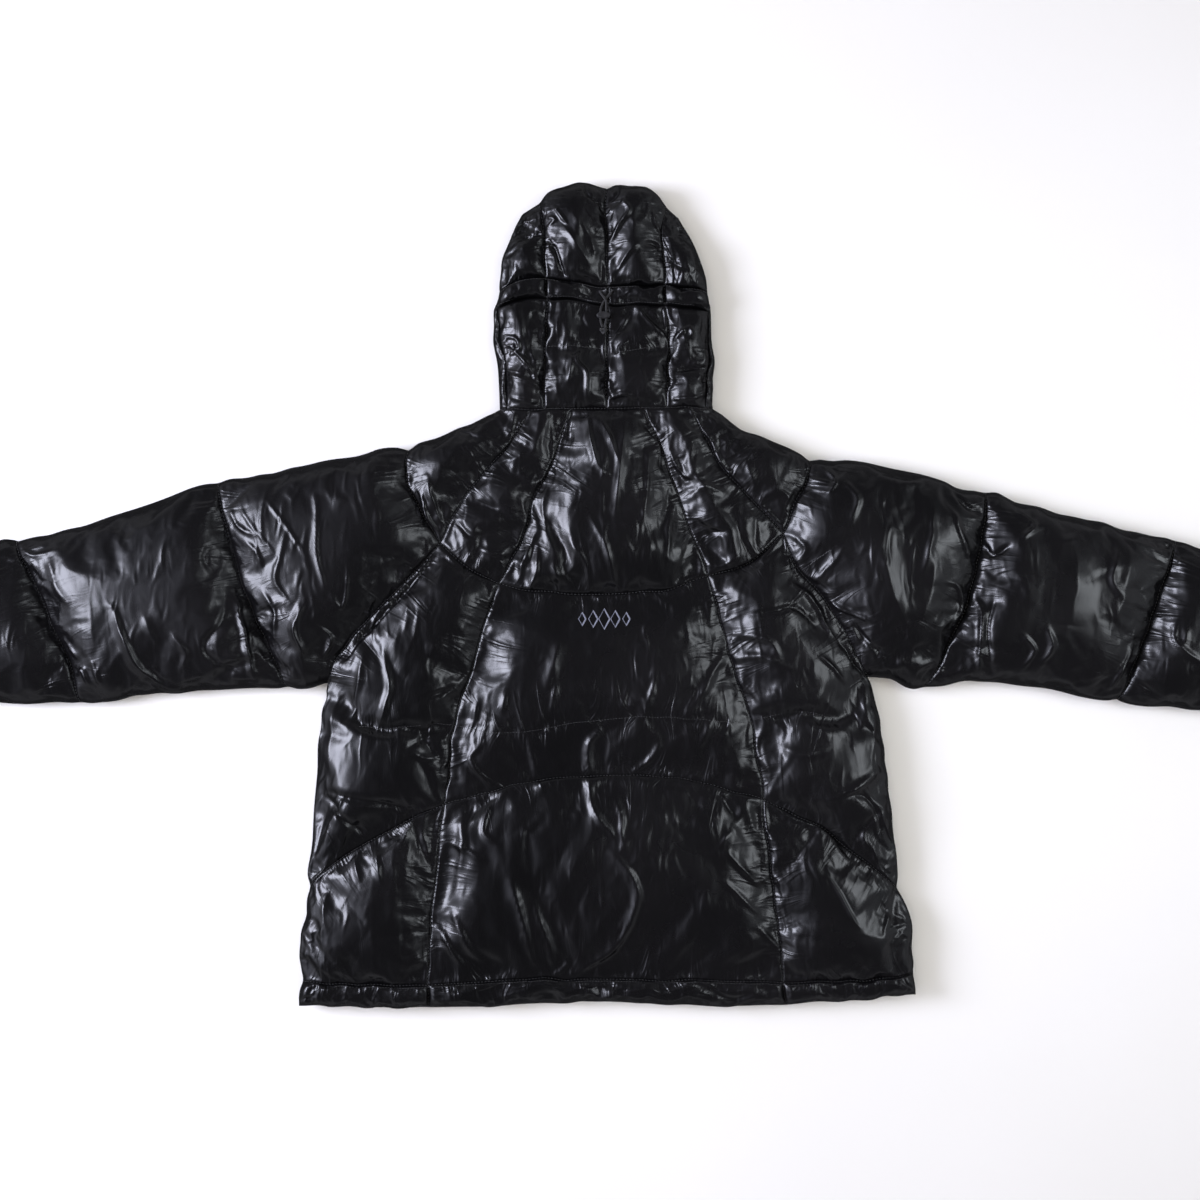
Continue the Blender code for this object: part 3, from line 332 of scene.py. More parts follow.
# The lines that are there on either side, the left one's points first
SIDED_LINES = {
    "neck_tip": (2, [(-118, 205), (-110, 205)], [(109, 205), (117, 205)]),
    "neck_cheek": (5, [(-110, 205), (-70, 205)], [(64, 205), (109, 205)]),
    "neck_nape": (6, [(-70, 205), (0, 205)], [(0, 205), (64, 205)]),
    "neck_shoulder": (5, [(-118, 205), (-85, 205)], [(90, 205), (117, 205)]),
    "neck_side": (5, [(-85, 205), (-40, 205)], [(40, 205), (90, 205)]),
    "neck_front": (4, [(-12, 205), (-85, 205)], [(12, 205), (90, 205)]),
    "neck_under": (13, [(-118, 205), (0, 205)], [(0, 205), (117, 205)]),
    "raglan_top": (10,
        [(-85, 205), (-103, 172), (-148, 117), (-174, 78), (-183, 58)],
        [(90, 205), (117, 156), (140, 124), (167, 97), (191, 69)]),
    "raglan_low": (8,
        [(-183, 58), (-218, 19), (-268, -34), (-296, -66), (-306, -95)],
        [(191, 69), (209, 32), (236, 0), (256, -32), (269, -59), (287, -89)]),
    "shoulder": (5,
        [(-219, 162), (-218, 128), (-207, 103), (-194, 77), (-183, 58)],
        [(223, 152), (217, 124), (204, 97), (191, 69)]),
    "yoke_in": (10,
        [(-40, 205), (-55, 156), (-76, 117), (-89, 74), (-117, 14)],
        [(40, 205), (57, 165), (78, 110), (99, 55), (110, 21)]),
    "yoke_side_low": (5,
        [(-183, 58), (-154, 33), (-117, 14)],
        [(191, 69), (167, 46), (144, 32), (110, 21)]),
    "princess_mid": (13,
        [(-117, 14), (-131, -23), (-146, -78), (-161, -114), (-169, -151), (-174, -197),
         (-177, -228)],
        [(110, 21), (117, -4), (133, -59), (146, -100), (158, -138), (165, -178), (171, -223)]),
    "slant": (13,
        [(-177, -228), (-204, -238), (-245, -261), (-291, -288), (-329, -318)],
        [(171, -223), (204, -238), (236, -256), (273, -284), (322, -322)]),
    "princess_low": (10,
        [(-177, -228), (-184, -266), (-190, -321), (-194, -362), (-195, -427)],
        [(171, -223), (176, -279), (184, -334), (190, -381), (192, -424)]),
    "hem_side": (13,
        [(-338, -421), (-291, -424), (-195, -427)],
        [(192, -424), (258, -421), (339, -415)]),
    "hem_join": (3, [(-195, -427), (-195, -453)], [(192, -424), (196, -450)]),
    "hem_front": (22,
        [(-338, -421), (-195, -426), (-12, -419)],
        [(339, -415), (196, -424), (12, -419)]),
    "zip_hem": (3, [(-12, -419), (-12, -446)], [(12, -419), (12, -446)]),
    "zip_front": (23, [(-12, 205), (-12, -419)], [(12, 205), (12, -419)]),
    "rim_hem_low": (13,
        [(-338, -449), (-245, -452), (-195, -453)],
        [(196, -450), (258, -444), (338, -439)]),
    "rim_hem_end": (3, [(-338, -421), (-338, -449)], [(339, -415), (338, -439)]),
    "rim_hem_front": (22,
        [(-338, -449), (-195, -453), (-52, -447), (-12, -446)],
        [(338, -439), (196, -450), (80, -449), (12, -446)]),
    "elbow_seam": (13,
        [(-427, 127), (-421, 94), (-411, 56), (-389, -13), (-359, -81), (-350, -102)],
        [(416, 117), (415, 94), (403, 29), (382, -36), (366, -67), (348, -102)]),
    "forearm_seam": (13,
        [(-649, 63), (-635, 31), (-619, -2), (-588, -75), (-576, -119)],
        [(626, 62), (612, 29), (600, -9), (586, -47), (574, -81), (560, -116)]),
    "cuff_seam": (13, [(-840, 14), (-815, -122)], [(845, -5), (823, -137)]),
    "cuff_end": (13, [(-869, -4), (-851, -114)], [(869, -21), (853, -129)]),
    "rim_shoulder": (10,
        [(-118, 205), (-140, 192), (-184, 177), (-206, 169), (-219, 162)],
        [(117, 205), (146, 185), (168, 175), (190, 167), (212, 158), (223, 152)]),
    "rim_upper_top": (11,
        [(-219, 162), (-250, 162), (-272, 156), (-338, 142), (-404, 130), (-427, 127)],
        [(223, 152), (245, 147), (268, 149), (322, 140), (366, 128), (388, 119), (416, 117)]),
    "rim_upper_low": (11,
        [(-306, -95), (-325, -101), (-350, -102)],
        [(287, -89), (311, -92), (329, -100), (348, -102)]),
    "rim_middle_top": (12,
        [(-427, 127), (-448, 120), (-536, 90), (-624, 66), (-649, 63)],
        [(416, 117), (432, 113), (454, 102), (498, 91), (586, 70), (626, 62)]),
    "rim_middle_low": (12,
        [(-350, -102), (-404, -103), (-492, -107), (-536, -114), (-576, -119)],
        [(348, -102), (366, -100), (399, -94), (432, -95), (476, -100), (520, -110), (560, -116)]),
    "rim_lower_top": (10,
        [(-649, 63), (-668, 60), (-750, 37), (-840, 14)],
        [(626, 62), (651, 52), (740, 26), (845, -5)]),
    "rim_lower_low": (10,
        [(-576, -119), (-668, -117), (-750, -120), (-815, -122)],
        [(560, -116), (586, -121), (651, -125), (740, -131), (823, -137)]),
    "rim_side_upper": (13,
        [(-306, -95), (-309, -120), (-316, -153), (-321, -213), (-325, -268), (-329, -318)],
        [(287, -89), (297, -119), (303, -153), (307, -190), (312, -240), (318, -285), (322, -322)]),
    "rim_side_lower": (10,
        [(-329, -318), (-332, -351), (-337, -384), (-338, -421)],
        [(322, -322), (332, -351), (336, -384), (339, -415)]),
    "rim_cheek": (8,
        [(-118, 205), (-120, 240), (-124, 285), (-123, 316)],
        [(114, 311), (116, 285), (117, 249), (117, 205)]),
    "rim_tunnel": (2, [(-123, 316), (-117, 336)], [(110, 333), (114, 311)]),
    "rim_temple": (8,
        [(-117, 336), (-116, 362), (-109, 388), (-96, 416), (-88, 424)],
        [(80, 416), (91, 395), (100, 373), (108, 350), (110, 333)]),
    "rim_temple_tip": (7, [(-88, 424), (-75, 432)], [(67, 428), (80, 416)]),
    "rim_crown": (6,
        [(-75, 432), (-61, 443), (-37, 452), (-19, 453), (0, 449)],
        [(0, 449), (16, 453), (45, 447), (67, 428)]),
    "casing": (8,
        [(-110, 205), (-112, 249), (-117, 285), (-119, 317)],
        [(109, 205), (110, 249), (112, 285), (111, 312)]),
    "hood_low": (8,
        [(-70, 205), (-70, 249), (-68, 280), (-66, 325)],
        [(64, 205), (67, 240), (67, 280), (65, 318)]),
    "hood_mid": (2, [(-66, 325), (-67, 347)], [(65, 318), (63, 341)]),
    "hood_top": (8,
        [(-67, 347), (-68, 372), (-70, 400), (-75, 432)],
        [(63, 341), (61, 375), (62, 405), (67, 428)]),
    "tunnel_low_tip": (2, [(-123, 316), (-119, 317)], [(111, 312), (114, 311)]),
    "tunnel_low_side": (5,
        [(-119, 317), (-99, 322), (-80, 325), (-66, 325)],
        [(65, 318), (89, 316), (111, 312)]),
    "tunnel_low": (6,
        [(-66, 325), (-40, 325), (-12, 319), (1, 318)],
        [(1, 318), (12, 317), (34, 319), (65, 318)]),
    "tunnel_top_side": (7,
        [(-117, 336), (-93, 345), (-67, 347)],
        [(63, 341), (88, 337), (110, 333)]),
    "tunnel_top": (6,
        [(-67, 347), (-38, 345), (-11, 339), (1, 339)],
        [(1, 339), (34, 340), (63, 341)]),
}
SIDES = ("left", "right")
LINES = dict(MIDDLE_LINES)
for name, (steps, *routes) in SIDED_LINES.items():
    for side, route in zip(SIDES, routes):
        LINES[f"{name}_{side}"] = (steps, route)
SEAM_GAP = 0.0001


def on_side(sides, side):
    """The names of those lines on that side of the jacket. Lines in the middle keep theirs."""
    return [[n if n in MIDDLE_LINES else f"{n}_{side}" for n in names] for names in sides]


def line(name, finer=1):
    """A named line's points in metres, cut in finer times its steps."""
    steps, points = LINES[name]
    return evenly(smooth(points), steps * finer) * MM


def in_turn(pieces):
    """The pieces of line, turned so that each starts where the one before it ends."""
    def apart(a, b):
        return float(np.linalg.norm(a - b))

    first, rest = pieces[0], pieces[1:]
    if rest:
        ends = [min(apart(p, rest[0][0]), apart(p, rest[0][-1])) for p in (first[0], first[-1])]
        first = first[::-1] if ends[0] < ends[1] else first
    turned = [first]
    for piece in rest:
        last = turned[-1][-1]
        turned.append(piece[::-1] if apart(piece[-1], last) < apart(piece[0], last) else piece)
    return turned


def chain(names, finer):
    """The named lines end to end, as one."""
    parts = in_turn([line(name, finer) for name in names])
    return np.concatenate([parts[0]] + [part[1:] for part in parts[1:]])


SHARPEST_MITRE = 0.35


def inset(loop, by):
    """The closed outline moved in by that much, with mitred corners."""
    edges = np.roll(loop, -1, axis=0) - loop
    area = np.sum(loop[:, 0] * np.roll(loop[:, 1], -1) - np.roll(loop[:, 0], -1) * loop[:, 1])
    edges /= np.linalg.norm(edges, axis=1, keepdims=True)
    inward = np.stack([-edges[:, 1], edges[:, 0]], axis=1) * np.sign(area)
    before = np.roll(inward, 1, axis=0)
    turn = 1 + np.sum(inward * before, axis=1, keepdims=True)
    return loop + by * (inward + before) / np.maximum(turn, SHARPEST_MITRE)


def patch(sides, finer):
    """A grid of plan points that fills the four chains of lines, half a seam gap inside them."""
    sides = in_turn([chain(names, finer) for names in sides])
    counts = [len(side) - 1 for side in sides]
    ring = inset(np.concatenate([side[:-1] for side in sides]), SEAM_GAP / 2)
    ring = np.concatenate([ring, ring[:1]])
    starts = np.cumsum([0] + counts)
    low, right, high, left = [ring[a:b + 1] for a, b in zip(starts, starts[1:])]
    high, left = high[::-1], left[::-1]
    u = np.linspace(0, 1, counts[0] + 1)[:, None, None]
    v = np.linspace(0, 1, counts[1] + 1)[None, :, None]
    across = low[:, None] * (1 - v) + high[:, None] * v
    along = left[None] * (1 - u) + right[None] * u
    corners = ((low[0] * (1 - u) + low[-1] * u) * (1 - v) + (high[0] * (1 - u) + high[-1] * u) * v)
    return across + along - corners


def nearest(points, track):
    """How far each point is from the polyline, how far along it that is, and on which side."""
    best = np.full(points.shape[:-1], 1e9)
    where = np.zeros(points.shape[:-1])
    left = np.zeros(points.shape[:-1], bool)
    walked = 0.0
    for start, end in zip(track[:-1], track[1:]):
        step = end - start
        reach = np.linalg.norm(step)
        ahead = points - start
        t = np.clip(ahead @ step / reach ** 2, 0, 1)
        gap = np.linalg.norm(ahead - t[..., None] * step, axis=-1)
        closer = gap < best
        best = np.where(closer, gap, best)
        where = np.where(closer, walked + t * reach, where)
        left = np.where(closer, step[0] * ahead[..., 1] > step[1] * ahead[..., 0], left)
        walked += reach
    return best, where, left


def from_lines(points, names):
    """How far each point is from the nearest of the named lines."""
    return np.min([nearest(points, line(name))[0] for name in names], axis=0)


CORD_SPOT = np.array((-0.003, 0.308))  # on the stopper, midway along what shows of the cord


def from_cord(points):
    """How far each point is from the middle of the drawcord, on the plan."""
    return np.linalg.norm(points - CORD_SPOT, axis=-1)


def eased(value, low, high):
    """0 below low, 1 above high and a smooth step between."""
    t = np.clip((value - low) / (high - low), 0, 1)
    return t * t * (3 - 2 * t)


# Where seams reach the outer edge the stitching draws the cloth in: x, y and which way, in mm
NOTCHES = [
    (-427, 127, 0.2, -1), (-350, -102, -0.2, 1), (416, 117, -0.1, -1), (348, -102, 0.3, 1),
    (-649, 63, 0.4, -1), (-576, -119, -0.3, 1), (626, 62, -0.3, -1), (560, -116, 0.3, 1),
    (-219, 162, 0.3, -1), (223, 152, -0.3, -1), (-329, -318, 1, 0.4), (322, -322, -1, 0.4),
    (-338, -421, 1, 0), (339, -415, -1, 0), (0, 449, 0, -0.3), (67, 428, -0.15, -0.3),
    (-75, 432, 0.15, -0.3),
]
NOTCH_DEPTH, NOTCH_REACH = 0.0026, 0.008
# Waves in how the cloth was laid out: along which axis they move it, how far, their length over
# 2 pi, and how much and over which lengths along and across they wander, all in metres
WAVES = [(0, 0.0006, 0.0071, 3.1, 0.043, 0.08), (0, 0.0010, 0.019, 2.3, 0.061, 0.05),
         (1, 0.0006, 0.0078, 2.9, 0.047, 0.07), (1, 0.0011, 0.021, 2.6, 0.067, -0.06)]
# The zip, the cuffs and the cloth round the cord keep their places. From the middle line outwards
# the waves rise over the first of these stretches and fall over the second. On the hood they rise
# over the third, outwards from the cord
ZIP_STILL, CUFFS_STILL, CORD_STILL = (0.013, 0.045), (0.77, 0.81), (0.03, 0.07)
HOOD_FROM = 0.22


def settled(points):
    """The plan points as cloth that was laid out by hand has them. Pieces that meet move alike."""
    x, y = points[..., 0], points[..., 1]
    free = eased(np.abs(x), *ZIP_STILL) * (1 - eased(np.abs(x), *CUFFS_STILL))
    free = np.where(y > HOOD_FROM, eased(from_cord(points), *CORD_STILL), free)
    moved = np.zeros(points.shape)
    for axis, height, pitch, wander, along, across in WAVES:
        ahead, side = points[..., 1 - axis], points[..., axis]
        bend = wander * np.sin(ahead / along + side / across)
        moved[..., axis] += height * np.sin(ahead / pitch + bend)
    moved *= free[..., None]
    for at_x, at_y, in_x, in_y in NOTCHES:
        gap = np.linalg.norm(points - np.array((at_x, at_y)) * MM, axis=-1)
        moved += NOTCH_DEPTH * np.exp(-(gap / NOTCH_REACH) ** 2)[..., None] * np.array((in_x, in_y))
    return points + moved


def rounded(away, reach):
    """A quarter-round rise from 0 at the stitching to 1 at that reach."""
    t = np.clip((away - SEAM_GAP / 2) / reach, 0, 1)
    return np.sqrt(1 - (1 - t) ** 2)


# ---- Padding of the back --------------------------------------------------------------------
# Each piece is a pouch of nylon over synthetic down. It is cut bigger than its place, so once it
# fills it crumples, most along the seams, where the cloth is gathered, and least in its middle.

# Heights of the plain inside and of the pinched seams and outer edges, as in the solids
FRONT_LAYER = 0.020
BACK_PINCH = 0.014
RIM_PINCH, RIM_PINCH_REACH = 0.0025, 0.030
# Under the stopper the cloth lies low and still, and rises again round it
PIT_FLAT_REACH, PIT_REACH, PIT_HEIGHT = 0.018, 0.055, 0.003

# How each kind of piece is cut: its loft, how far from a seam and from an outer edge it is full,
# how crumpled it lies, how slack it is, and the share of its height that it keeps beside seams
Cut = namedtuple("Cut", "loft seam_reach rim_reach crumpled slack kept")
BODY = Cut(0.014, 0.046, 0.060, 0.8, 0.7, 0.72)
CENTRE = Cut(0.008, 0.055, 0.060, 0.7, 0.5, 0.48)
LOWER = Cut(0.010, 0.055, 0.060, 1.2, 0.6, 0.55)
YOKE = Cut(0.011, 0.040, 0.060, 0.9, 0.9, 0.72)
ARM = Cut(0.021, 0.048, 0.085, 0.3, 0.5, 0.72)
HOOD = Cut(0.013, 0.036, 0.055, 1.6, 0.8, 0.75)
TUNNEL = Cut(0.012, 0.013, 0.014, 1.6, 1.2, 1.0)
BAND = Cut(0.008, 0.011, 0.012, 0.7, 1.0, 1.0)
CASING = Cut(0.003, 0.004, 0.006, 0.4, 0.5, 1.0)

# Each piece's cut and the lines along its four sides
back_pieces = {
    "yoke_centre": (YOKE, ["yoke_low"], ["yoke_in_right"], ["neck_yoke"], ["yoke_in_left"]),
    "back_centre": (CENTRE, ["waist"], ["princess_mid_right"], ["yoke_low"],
                    ["princess_mid_left"]),
    "back_lower": (LOWER, ["hem_centre"], ["princess_low_right"], ["waist"],
                   ["princess_low_left"]),
    "hem_back": (BAND, ["rim_hem_low_centre"], ["hem_join_right"], ["hem_centre"],
                 ["hem_join_left"]),
}
SIDED_BACK = {
    "shoulder": (YOKE, ["shoulder"], ["raglan_top"], ["neck_shoulder"], ["rim_shoulder"]),
    "yoke_side": (YOKE, ["yoke_side_low"], ["raglan_top"], ["neck_side"], ["yoke_in"]),
    "side_upper": (BODY, ["slant"], ["princess_mid"], ["yoke_side_low", "raglan_low"],
                   ["rim_side_upper"]),
    "side_lower": (BODY, ["hem_side"], ["princess_low"], ["slant"], ["rim_side_lower"]),
    "hem_side": (BAND, ["rim_hem_low"], ["hem_join"], ["hem_side"], ["rim_hem_end"]),
    "sleeve_upper": (ARM, ["rim_upper_low"], ["elbow_seam"], ["rim_upper_top"],
                     ["shoulder", "raglan_low"]),
    "sleeve_middle": (ARM, ["rim_middle_low"], ["forearm_seam"], ["rim_middle_top"],
                      ["elbow_seam"]),
    "sleeve_lower": (ARM, ["rim_lower_low"], ["cuff_seam"], ["rim_lower_top"], ["forearm_seam"]),
    "hood_crown": (HOOD, ["tunnel_top"], ["hood_top"], ["rim_crown"], ["hood_top_centre"]),
    "hood_temple": (HOOD, ["tunnel_top_side"], ["hood_top"], ["rim_temple_tip"], ["rim_temple"]),
    "hood_tunnel": (TUNNEL, ["tunnel_low"], ["hood_mid"], ["tunnel_top"], ["hood_mid_centre"]),
    "hood_tunnel_side": (TUNNEL, ["tunnel_low_tip", "tunnel_low_side"], ["hood_mid"],
                         ["tunnel_top_side"], ["rim_tunnel"]),
    "hood_nape": (HOOD, ["neck_nape"], ["hood_low"], ["tunnel_low"], ["hood_low_centre"]),
    "hood_cheek": (HOOD, ["neck_cheek"], ["hood_low"], ["tunnel_low_side"], ["casing"]),
    "hood_casing": (CASING, ["neck_tip"], ["casing"], ["tunnel_low_tip"], ["rim_cheek"]),
}
for side in SIDES:
    for name, (cut, *sides) in SIDED_BACK.items():
        back_pieces[f"{name}_{side}"] = (cut, *on_side(sides, side))

RIMS = [name for name in LINES if name.startswith("rim")]


def seams_of(names):
    return [name for name in names if name not in RIMS]


def pinch_at(points):
    """How high over the inside the cloth is pinched there, and how far the outer edge is."""
    edge = from_lines(points, RIMS)
    return RIM_PINCH + (BACK_PINCH - RIM_PINCH) * rounded(edge, RIM_PINCH_REACH), edge


# Creases that the cloth has kept: the line of the crest, the width of its left and right slopes
# as one looks along it, and its height, all in millimetres. A trough's height is negative.
CREASES = [
    # yoke
    ([(-21, 200), (-16, 165), (-7, 138), (6, 130)], 4, 7, 3),
    ([(-7, 190), (3, 172), (12, 146)], 4, 8, 3),
    ([(19, 186), (14, 140), (8, 85)], 8, 8, 2.5),
    ([(44, 161), (42, 119), (37, 76)], 8, 6, 2.5),
    ([(69, 89), (65, 38)], 6, 6, 2),
    ([(-75, 72), (-85, 55), (-98, 14)], 6, 8, 3),
    ([(-79, 59), (-75, 30), (-84, 9)], 4, 6, 2.5),
    ([(-59, 37), (-50, 9)], 4, 6, 2),
    ([(-38, 59), (-23, 38), (-18, 9)], 5, 8, 2.5),
    ([(-65, 139), (-68, 84), (-56, 40)], 6, 7, 2),
    ([(-19, 89), (-1, 56), (10, 7)], 6, 6, 2),
    ([(65, 161), (84, 130), (109, 134)], 7, 5, 3),
    ([(81, 121), (99, 132), (116, 144)], 5, 5, -2.5),
    ([(90, 108), (107, 121), (129, 112)], 6, 6, 2.5),
    ([(106, 67), (129, 69)], 6, 4, -2.5),
    ([(97, 36), (120, 32), (145, 48)], 7, 5, 3),
    ([(-193, 130), (-185, 92), (-174, 72)], 4, 8, 3.5),
    ([(-201, 114), (-195, 89), (-184, 67)], 4, 6, 3),
    ([(-167, 84), (-151, 67), (-133, 67)], 5, 5, -2.5),
    ([(-142, 55), (-121, 46), (-105, 46)], 5, 6, 2.5),
    ([(-142, 103), (-118, 92)], 6, 6, -2),
    ([(102, 188), (127, 147), (155, 106)], 4, 6, 3),
    ([(152, 150), (160, 122), (157, 100)], 8, 6, 2),
    # left side
    ([(-319, -213), (-283, -220), (-232, -230), (-207, -237)], 10, 5, -4),
    ([(-319, -216), (-292, -239), (-260, -264)], 8, 5, -4),
    ([(-219, -167), (-194, -154), (-170, -150)], 5, 5, -2.5),
    ([(-219, -169), (-202, -177), (-178, -172)], 5, 5, 2.5),
    ([(-265, -59), (-272, -103), (-280, -139)], 7, 7, 2.5),
    ([(-245, -48), (-237, -103), (-252, -147)], 7, 7, 2.5),
    ([(-294, -103), (-302, -147), (-305, -191)], 9, 9, 2.5),
    ([(-206, -114), (-184, -106), (-164, -97)], 5, 5, -2.5),
    ([(-275, -282), (-266, -312)], 6, 7, 2.5),
    ([(-249, -279), (-245, -312)], 6, 7, 2.5),
    ([(-305, -312), (-310, -367), (-305, -406)], 12, 10, 2),
    # lower back
    ([(-156, -230), (-156, -268), (-162, -301)], 8, 8, 3),
    ([(-182, -266), (-156, -277), (-132, -290)], 5, 5, 3),
    ([(-127, -227), (-131, -260), (-118, -271)], 4, 6, 3),
    ([(-189, -358), (-168, -383), (-156, -408)], 5, 8, 4),
    ([(-168, -340), (-147, -383), (-131, -404)], 5, 8, 3.5),
    ([(-101, -312), (-87, -362), (-79, -407)], 5, 9, 4),
    ([(-79, -329), (-63, -378), (-61, -406)], 5, 7, 3),
    ([(-19, -200), (-13, -235), (11, -265)], 5, 7, 3.5),
    ([(9, -220), (16, -241), (14, -261)], 5, 6, 3),
    ([(7, -280), (31, -310), (31, -340), (7, -385), (-34, -412)], 6, 13, 5),
    ([(-54, -391), (-44, -400), (-58, -416)], 4, 5, 3),
    ([(121, -216), (141, -241)], 5, 5, -3),
    ([(107, -285), (136, -255)], 3, 3, 2),
    ([(127, -280), (146, -300), (166, -306)], 5, 5, 3),
    ([(121, -310), (166, -345)], 4, 5, 2.5),
    ([(162, -355), (191, -391)], 5, 5, 3),
    # centre back
    ([(136, -55), (117, -80), (86, -131)], 8, 8, 3),
    ([(117, -125), (107, -151), (97, -170)], 7, 7, 2.5),
    ([(-3, -145), (-19, -164), (-19, -198)], 5, 8, 4),
    ([(56, -161), (46, -180), (26, -196)], 5, 6, 3),
    ([(-134, -161), (-148, -180), (-129, -206)], 5, 6, 3),
    ([(-109, -106), (-113, -128)], 5, 6, 2.5),
    ([(-140, -114), (-146, -139)], 5, 6, 2.5),
    ([(52, -76), (46, -125)], 6, 6, 2),
    ([(-52, -92), (-61, -128)], 6, 6, 2),
    ([(-85, -153), (-76, -194)], 6, 7, 2.5),
    ([(-52, -48), (-65, -103)], 10, 10, 2),
    # right side
    ([(138, -43), (175, -48), (190, -69)], 6, 6, 2.5),
    ([(158, -22), (185, -16), (206, -12), (232, -33)], 5, 6, -3.5),
    ([(141, -70), (168, -65), (201, -79)], 7, 6, 2.5),
    ([(227, -64), (243, -75), (258, -90)], 5, 5, 3),
    ([(253, -48), (274, -75), (282, -90)], 4, 5, -3.5),
    ([(201, 18), (226, -4), (251, -48)], 6, 6, 3),
    ([(238, -224), (268, -211), (300, -185)], 8, 5, 4),
    ([(238, -221), (279, -216), (295, -242), (300, -263)], 5, 5, -3),
    ([(238, -305), (274, -358)], 3, 3, 2),
    ([(138, -284), (158, -310), (179, -305)], 5, 5, 3),
    ([(300, -367), (311, -340)], 5, 5, 2.5),
    ([(186, -164), (212, -172), (245, -167)], 8, 8, 2),
    # left sleeve
    ([(-202, 32), (-246, -22), (-288, -68)], 4, 9, -5),
    ([(-400, 103), (-382, 76), (-361, 44)], 2.5, 3, 1.6),
    ([(-371, 116), (-372, 84), (-373, 48)], 2.5, 3, 1.6),
    ([(-370, 107), (-346, 75), (-324, 43)], 2.5, 3, 1.6),
    ([(-315, 103), (-312, 48), (-305, 6)], 4, 6, 2.2),
    ([(-280, 29), (-287, -14), (-302, 6)], 3, 3, 1.6),
    ([(-345, 72), (-358, 21), (-342, -4)], 4, 5, 2.2),
    ([(-326, -7), (-338, -34), (-330, -62)], 6, 9, 4),
    ([(-310, -34), (-300, -46), (-310, -69)], 5, 7, 3),
    ([(-393, 62), (-380, 48), (-373, 23)], 4, 6, 2.5),
    ([(-408, 95), (-400, 78), (-380, 67)], 4, 6, 2.5),
    ([(-373, 7), (-360, -18), (-364, -48)], 5, 7, 2.5),
    ([(-413, 1), (-416, -26), (-432, -46), (-432, -66), (-393, -89)], 11, 5, -3.5),
    ([(-403, 7), (-397, -31), (-385, -94)], 4, 7, 6),
    ([(-430, 56), (-437, 40), (-424, 23)], 9, 5, -2),
    ([(-535, -11), (-522, -42), (-507, -77), (-483, -97), (-453, -101)], 6, 10, 4.5),
    ([(-468, -42), (-455, -62), (-463, -86)], 6, 7, 3),
    ([(-501, -21), (-486, -54)], 8, 8, 2),
    ([(-578, -86), (-571, -81), (-563, -97)], 4, 5, 4),
    ([(-558, -70), (-551, -95)], 5, 6, 3),
    ([(-645, 61), (-625, 44), (-597, 52)], 5, 6, 3),
    ([(-604, 40), (-597, 12), (-580, -15)], 8, 9, 3),
    ([(-595, -48), (-575, -70)], 5, 6, 2.5),
    # right sleeve
    ([(306, 80), (298, 40), (322, -28)], 22, 34, 4),
    ([(345, 74), (352, 20), (338, -30)], 22, 30, 4),
    ([(500, 72), (508, 24), (500, -34)], 26, 36, 4.5),
    ([(566, 60), (560, 12), (544, -40)], 20, 24, 3.5),
    ([(202, 66), (216, 53), (207, 38)], 5, 5, 3),
    ([(230, 144), (248, 125), (239, 108)], 5, 6, 3),
    ([(257, 125), (271, 103), (266, 80)], 6, 6, 2.5),
    ([(253, 48), (226, 15)], 4, 4, 2),
    ([(234, -2), (271, -21), (289, -25)], 5, 4, 3),
    ([(266, -25), (275, -44), (308, -67)], 5, 5, -3),
    ([(353, 94), (349, 53), (340, 25)], 7, 5, 2.5),
    ([(376, 117), (395, 98), (408, 94)], 5, 5, -3),
    ([(376, 94), (385, 62), (399, 34)], 6, 5, 3),
    ([(366, 15), (381, 11), (385, -12), (376, -34)], 5, 4, 3),
    ([(406, 62), (418, 45), (436, 55)], 5, 5, -4.5),
    ([(399, 2), (408, -30), (404, -85)], 5, 6, 4.5),
    ([(418, -2), (413, -34), (418, -80)], 5, 5, -3.5),
    ([(450, -40), (463, -57), (454, -76)], 4, 6, 3),
    ([(477, -34), (482, -53), (473, -72)], 5, 7, 4),
    ([(443, 94), (463, 76), (450, 62)], 5, 5, 3),
    ([(556, 57), (546, 21), (556, -2)], 9, 7, 2.5),
    ([(569, -53), (560, -76), (546, -103)], 4, 5, 4),
    ([(583, -48), (573, -76)], 4, 4, 3),
    ([(619, -25), (615, -48), (642, -72)], 5, 6, 3.5),
    ([(628, -35), (624, -57)], 5, 5, 2),
    ([(608, 62), (622, 48), (619, 33)], 5, 5, -3),
    # hood
    ([(-25, 450), (-19, 436), (-6, 428), (-2, 417)], 4, 4, -3),
    ([(11, 452), (10, 439), (-2, 430)], 4, 4, -3),
    ([(14, 433), (25, 419), (16, 406), (3, 389)], 4, 4, 3),
    ([(36, 384), (25, 375), (10, 353)], 4, 6, 2.5),
    ([(42, 384), (53, 384), (61, 375)], 4, 4, -3.5),
    ([(50, 419), (55, 406), (61, 397)], 3, 4, 2.5),
    ([(-68, 389), (-55, 375), (-46, 348)], 4, 4, -4),
    ([(-57, 422), (-50, 411), (-44, 403)], 3, 4, 2.5),
    ([(-66, 411), (-57, 408), (-66, 400)], 3, 3, 2),
    ([(-50, 403), (-28, 378), (-19, 364)], 6, 7, 2),
    ([(-38, 414), (-22, 395), (-11, 370)], 6, 6, 2),
    ([(-99, 392), (-85, 395), (-68, 393)], 5, 4, -3.5),
    ([(-74, 430), (-70, 419), (-74, 405)], 3, 4, 2.5),
    ([(58, 373), (75, 362), (91, 354)], 5, 5, -2.5),
    ([(63, 408), (61, 386), (69, 372)], 3, 4, 2),
    ([(-30, 268), (-33, 254), (-22, 241), (-22, 213)], 4, 4, 3),
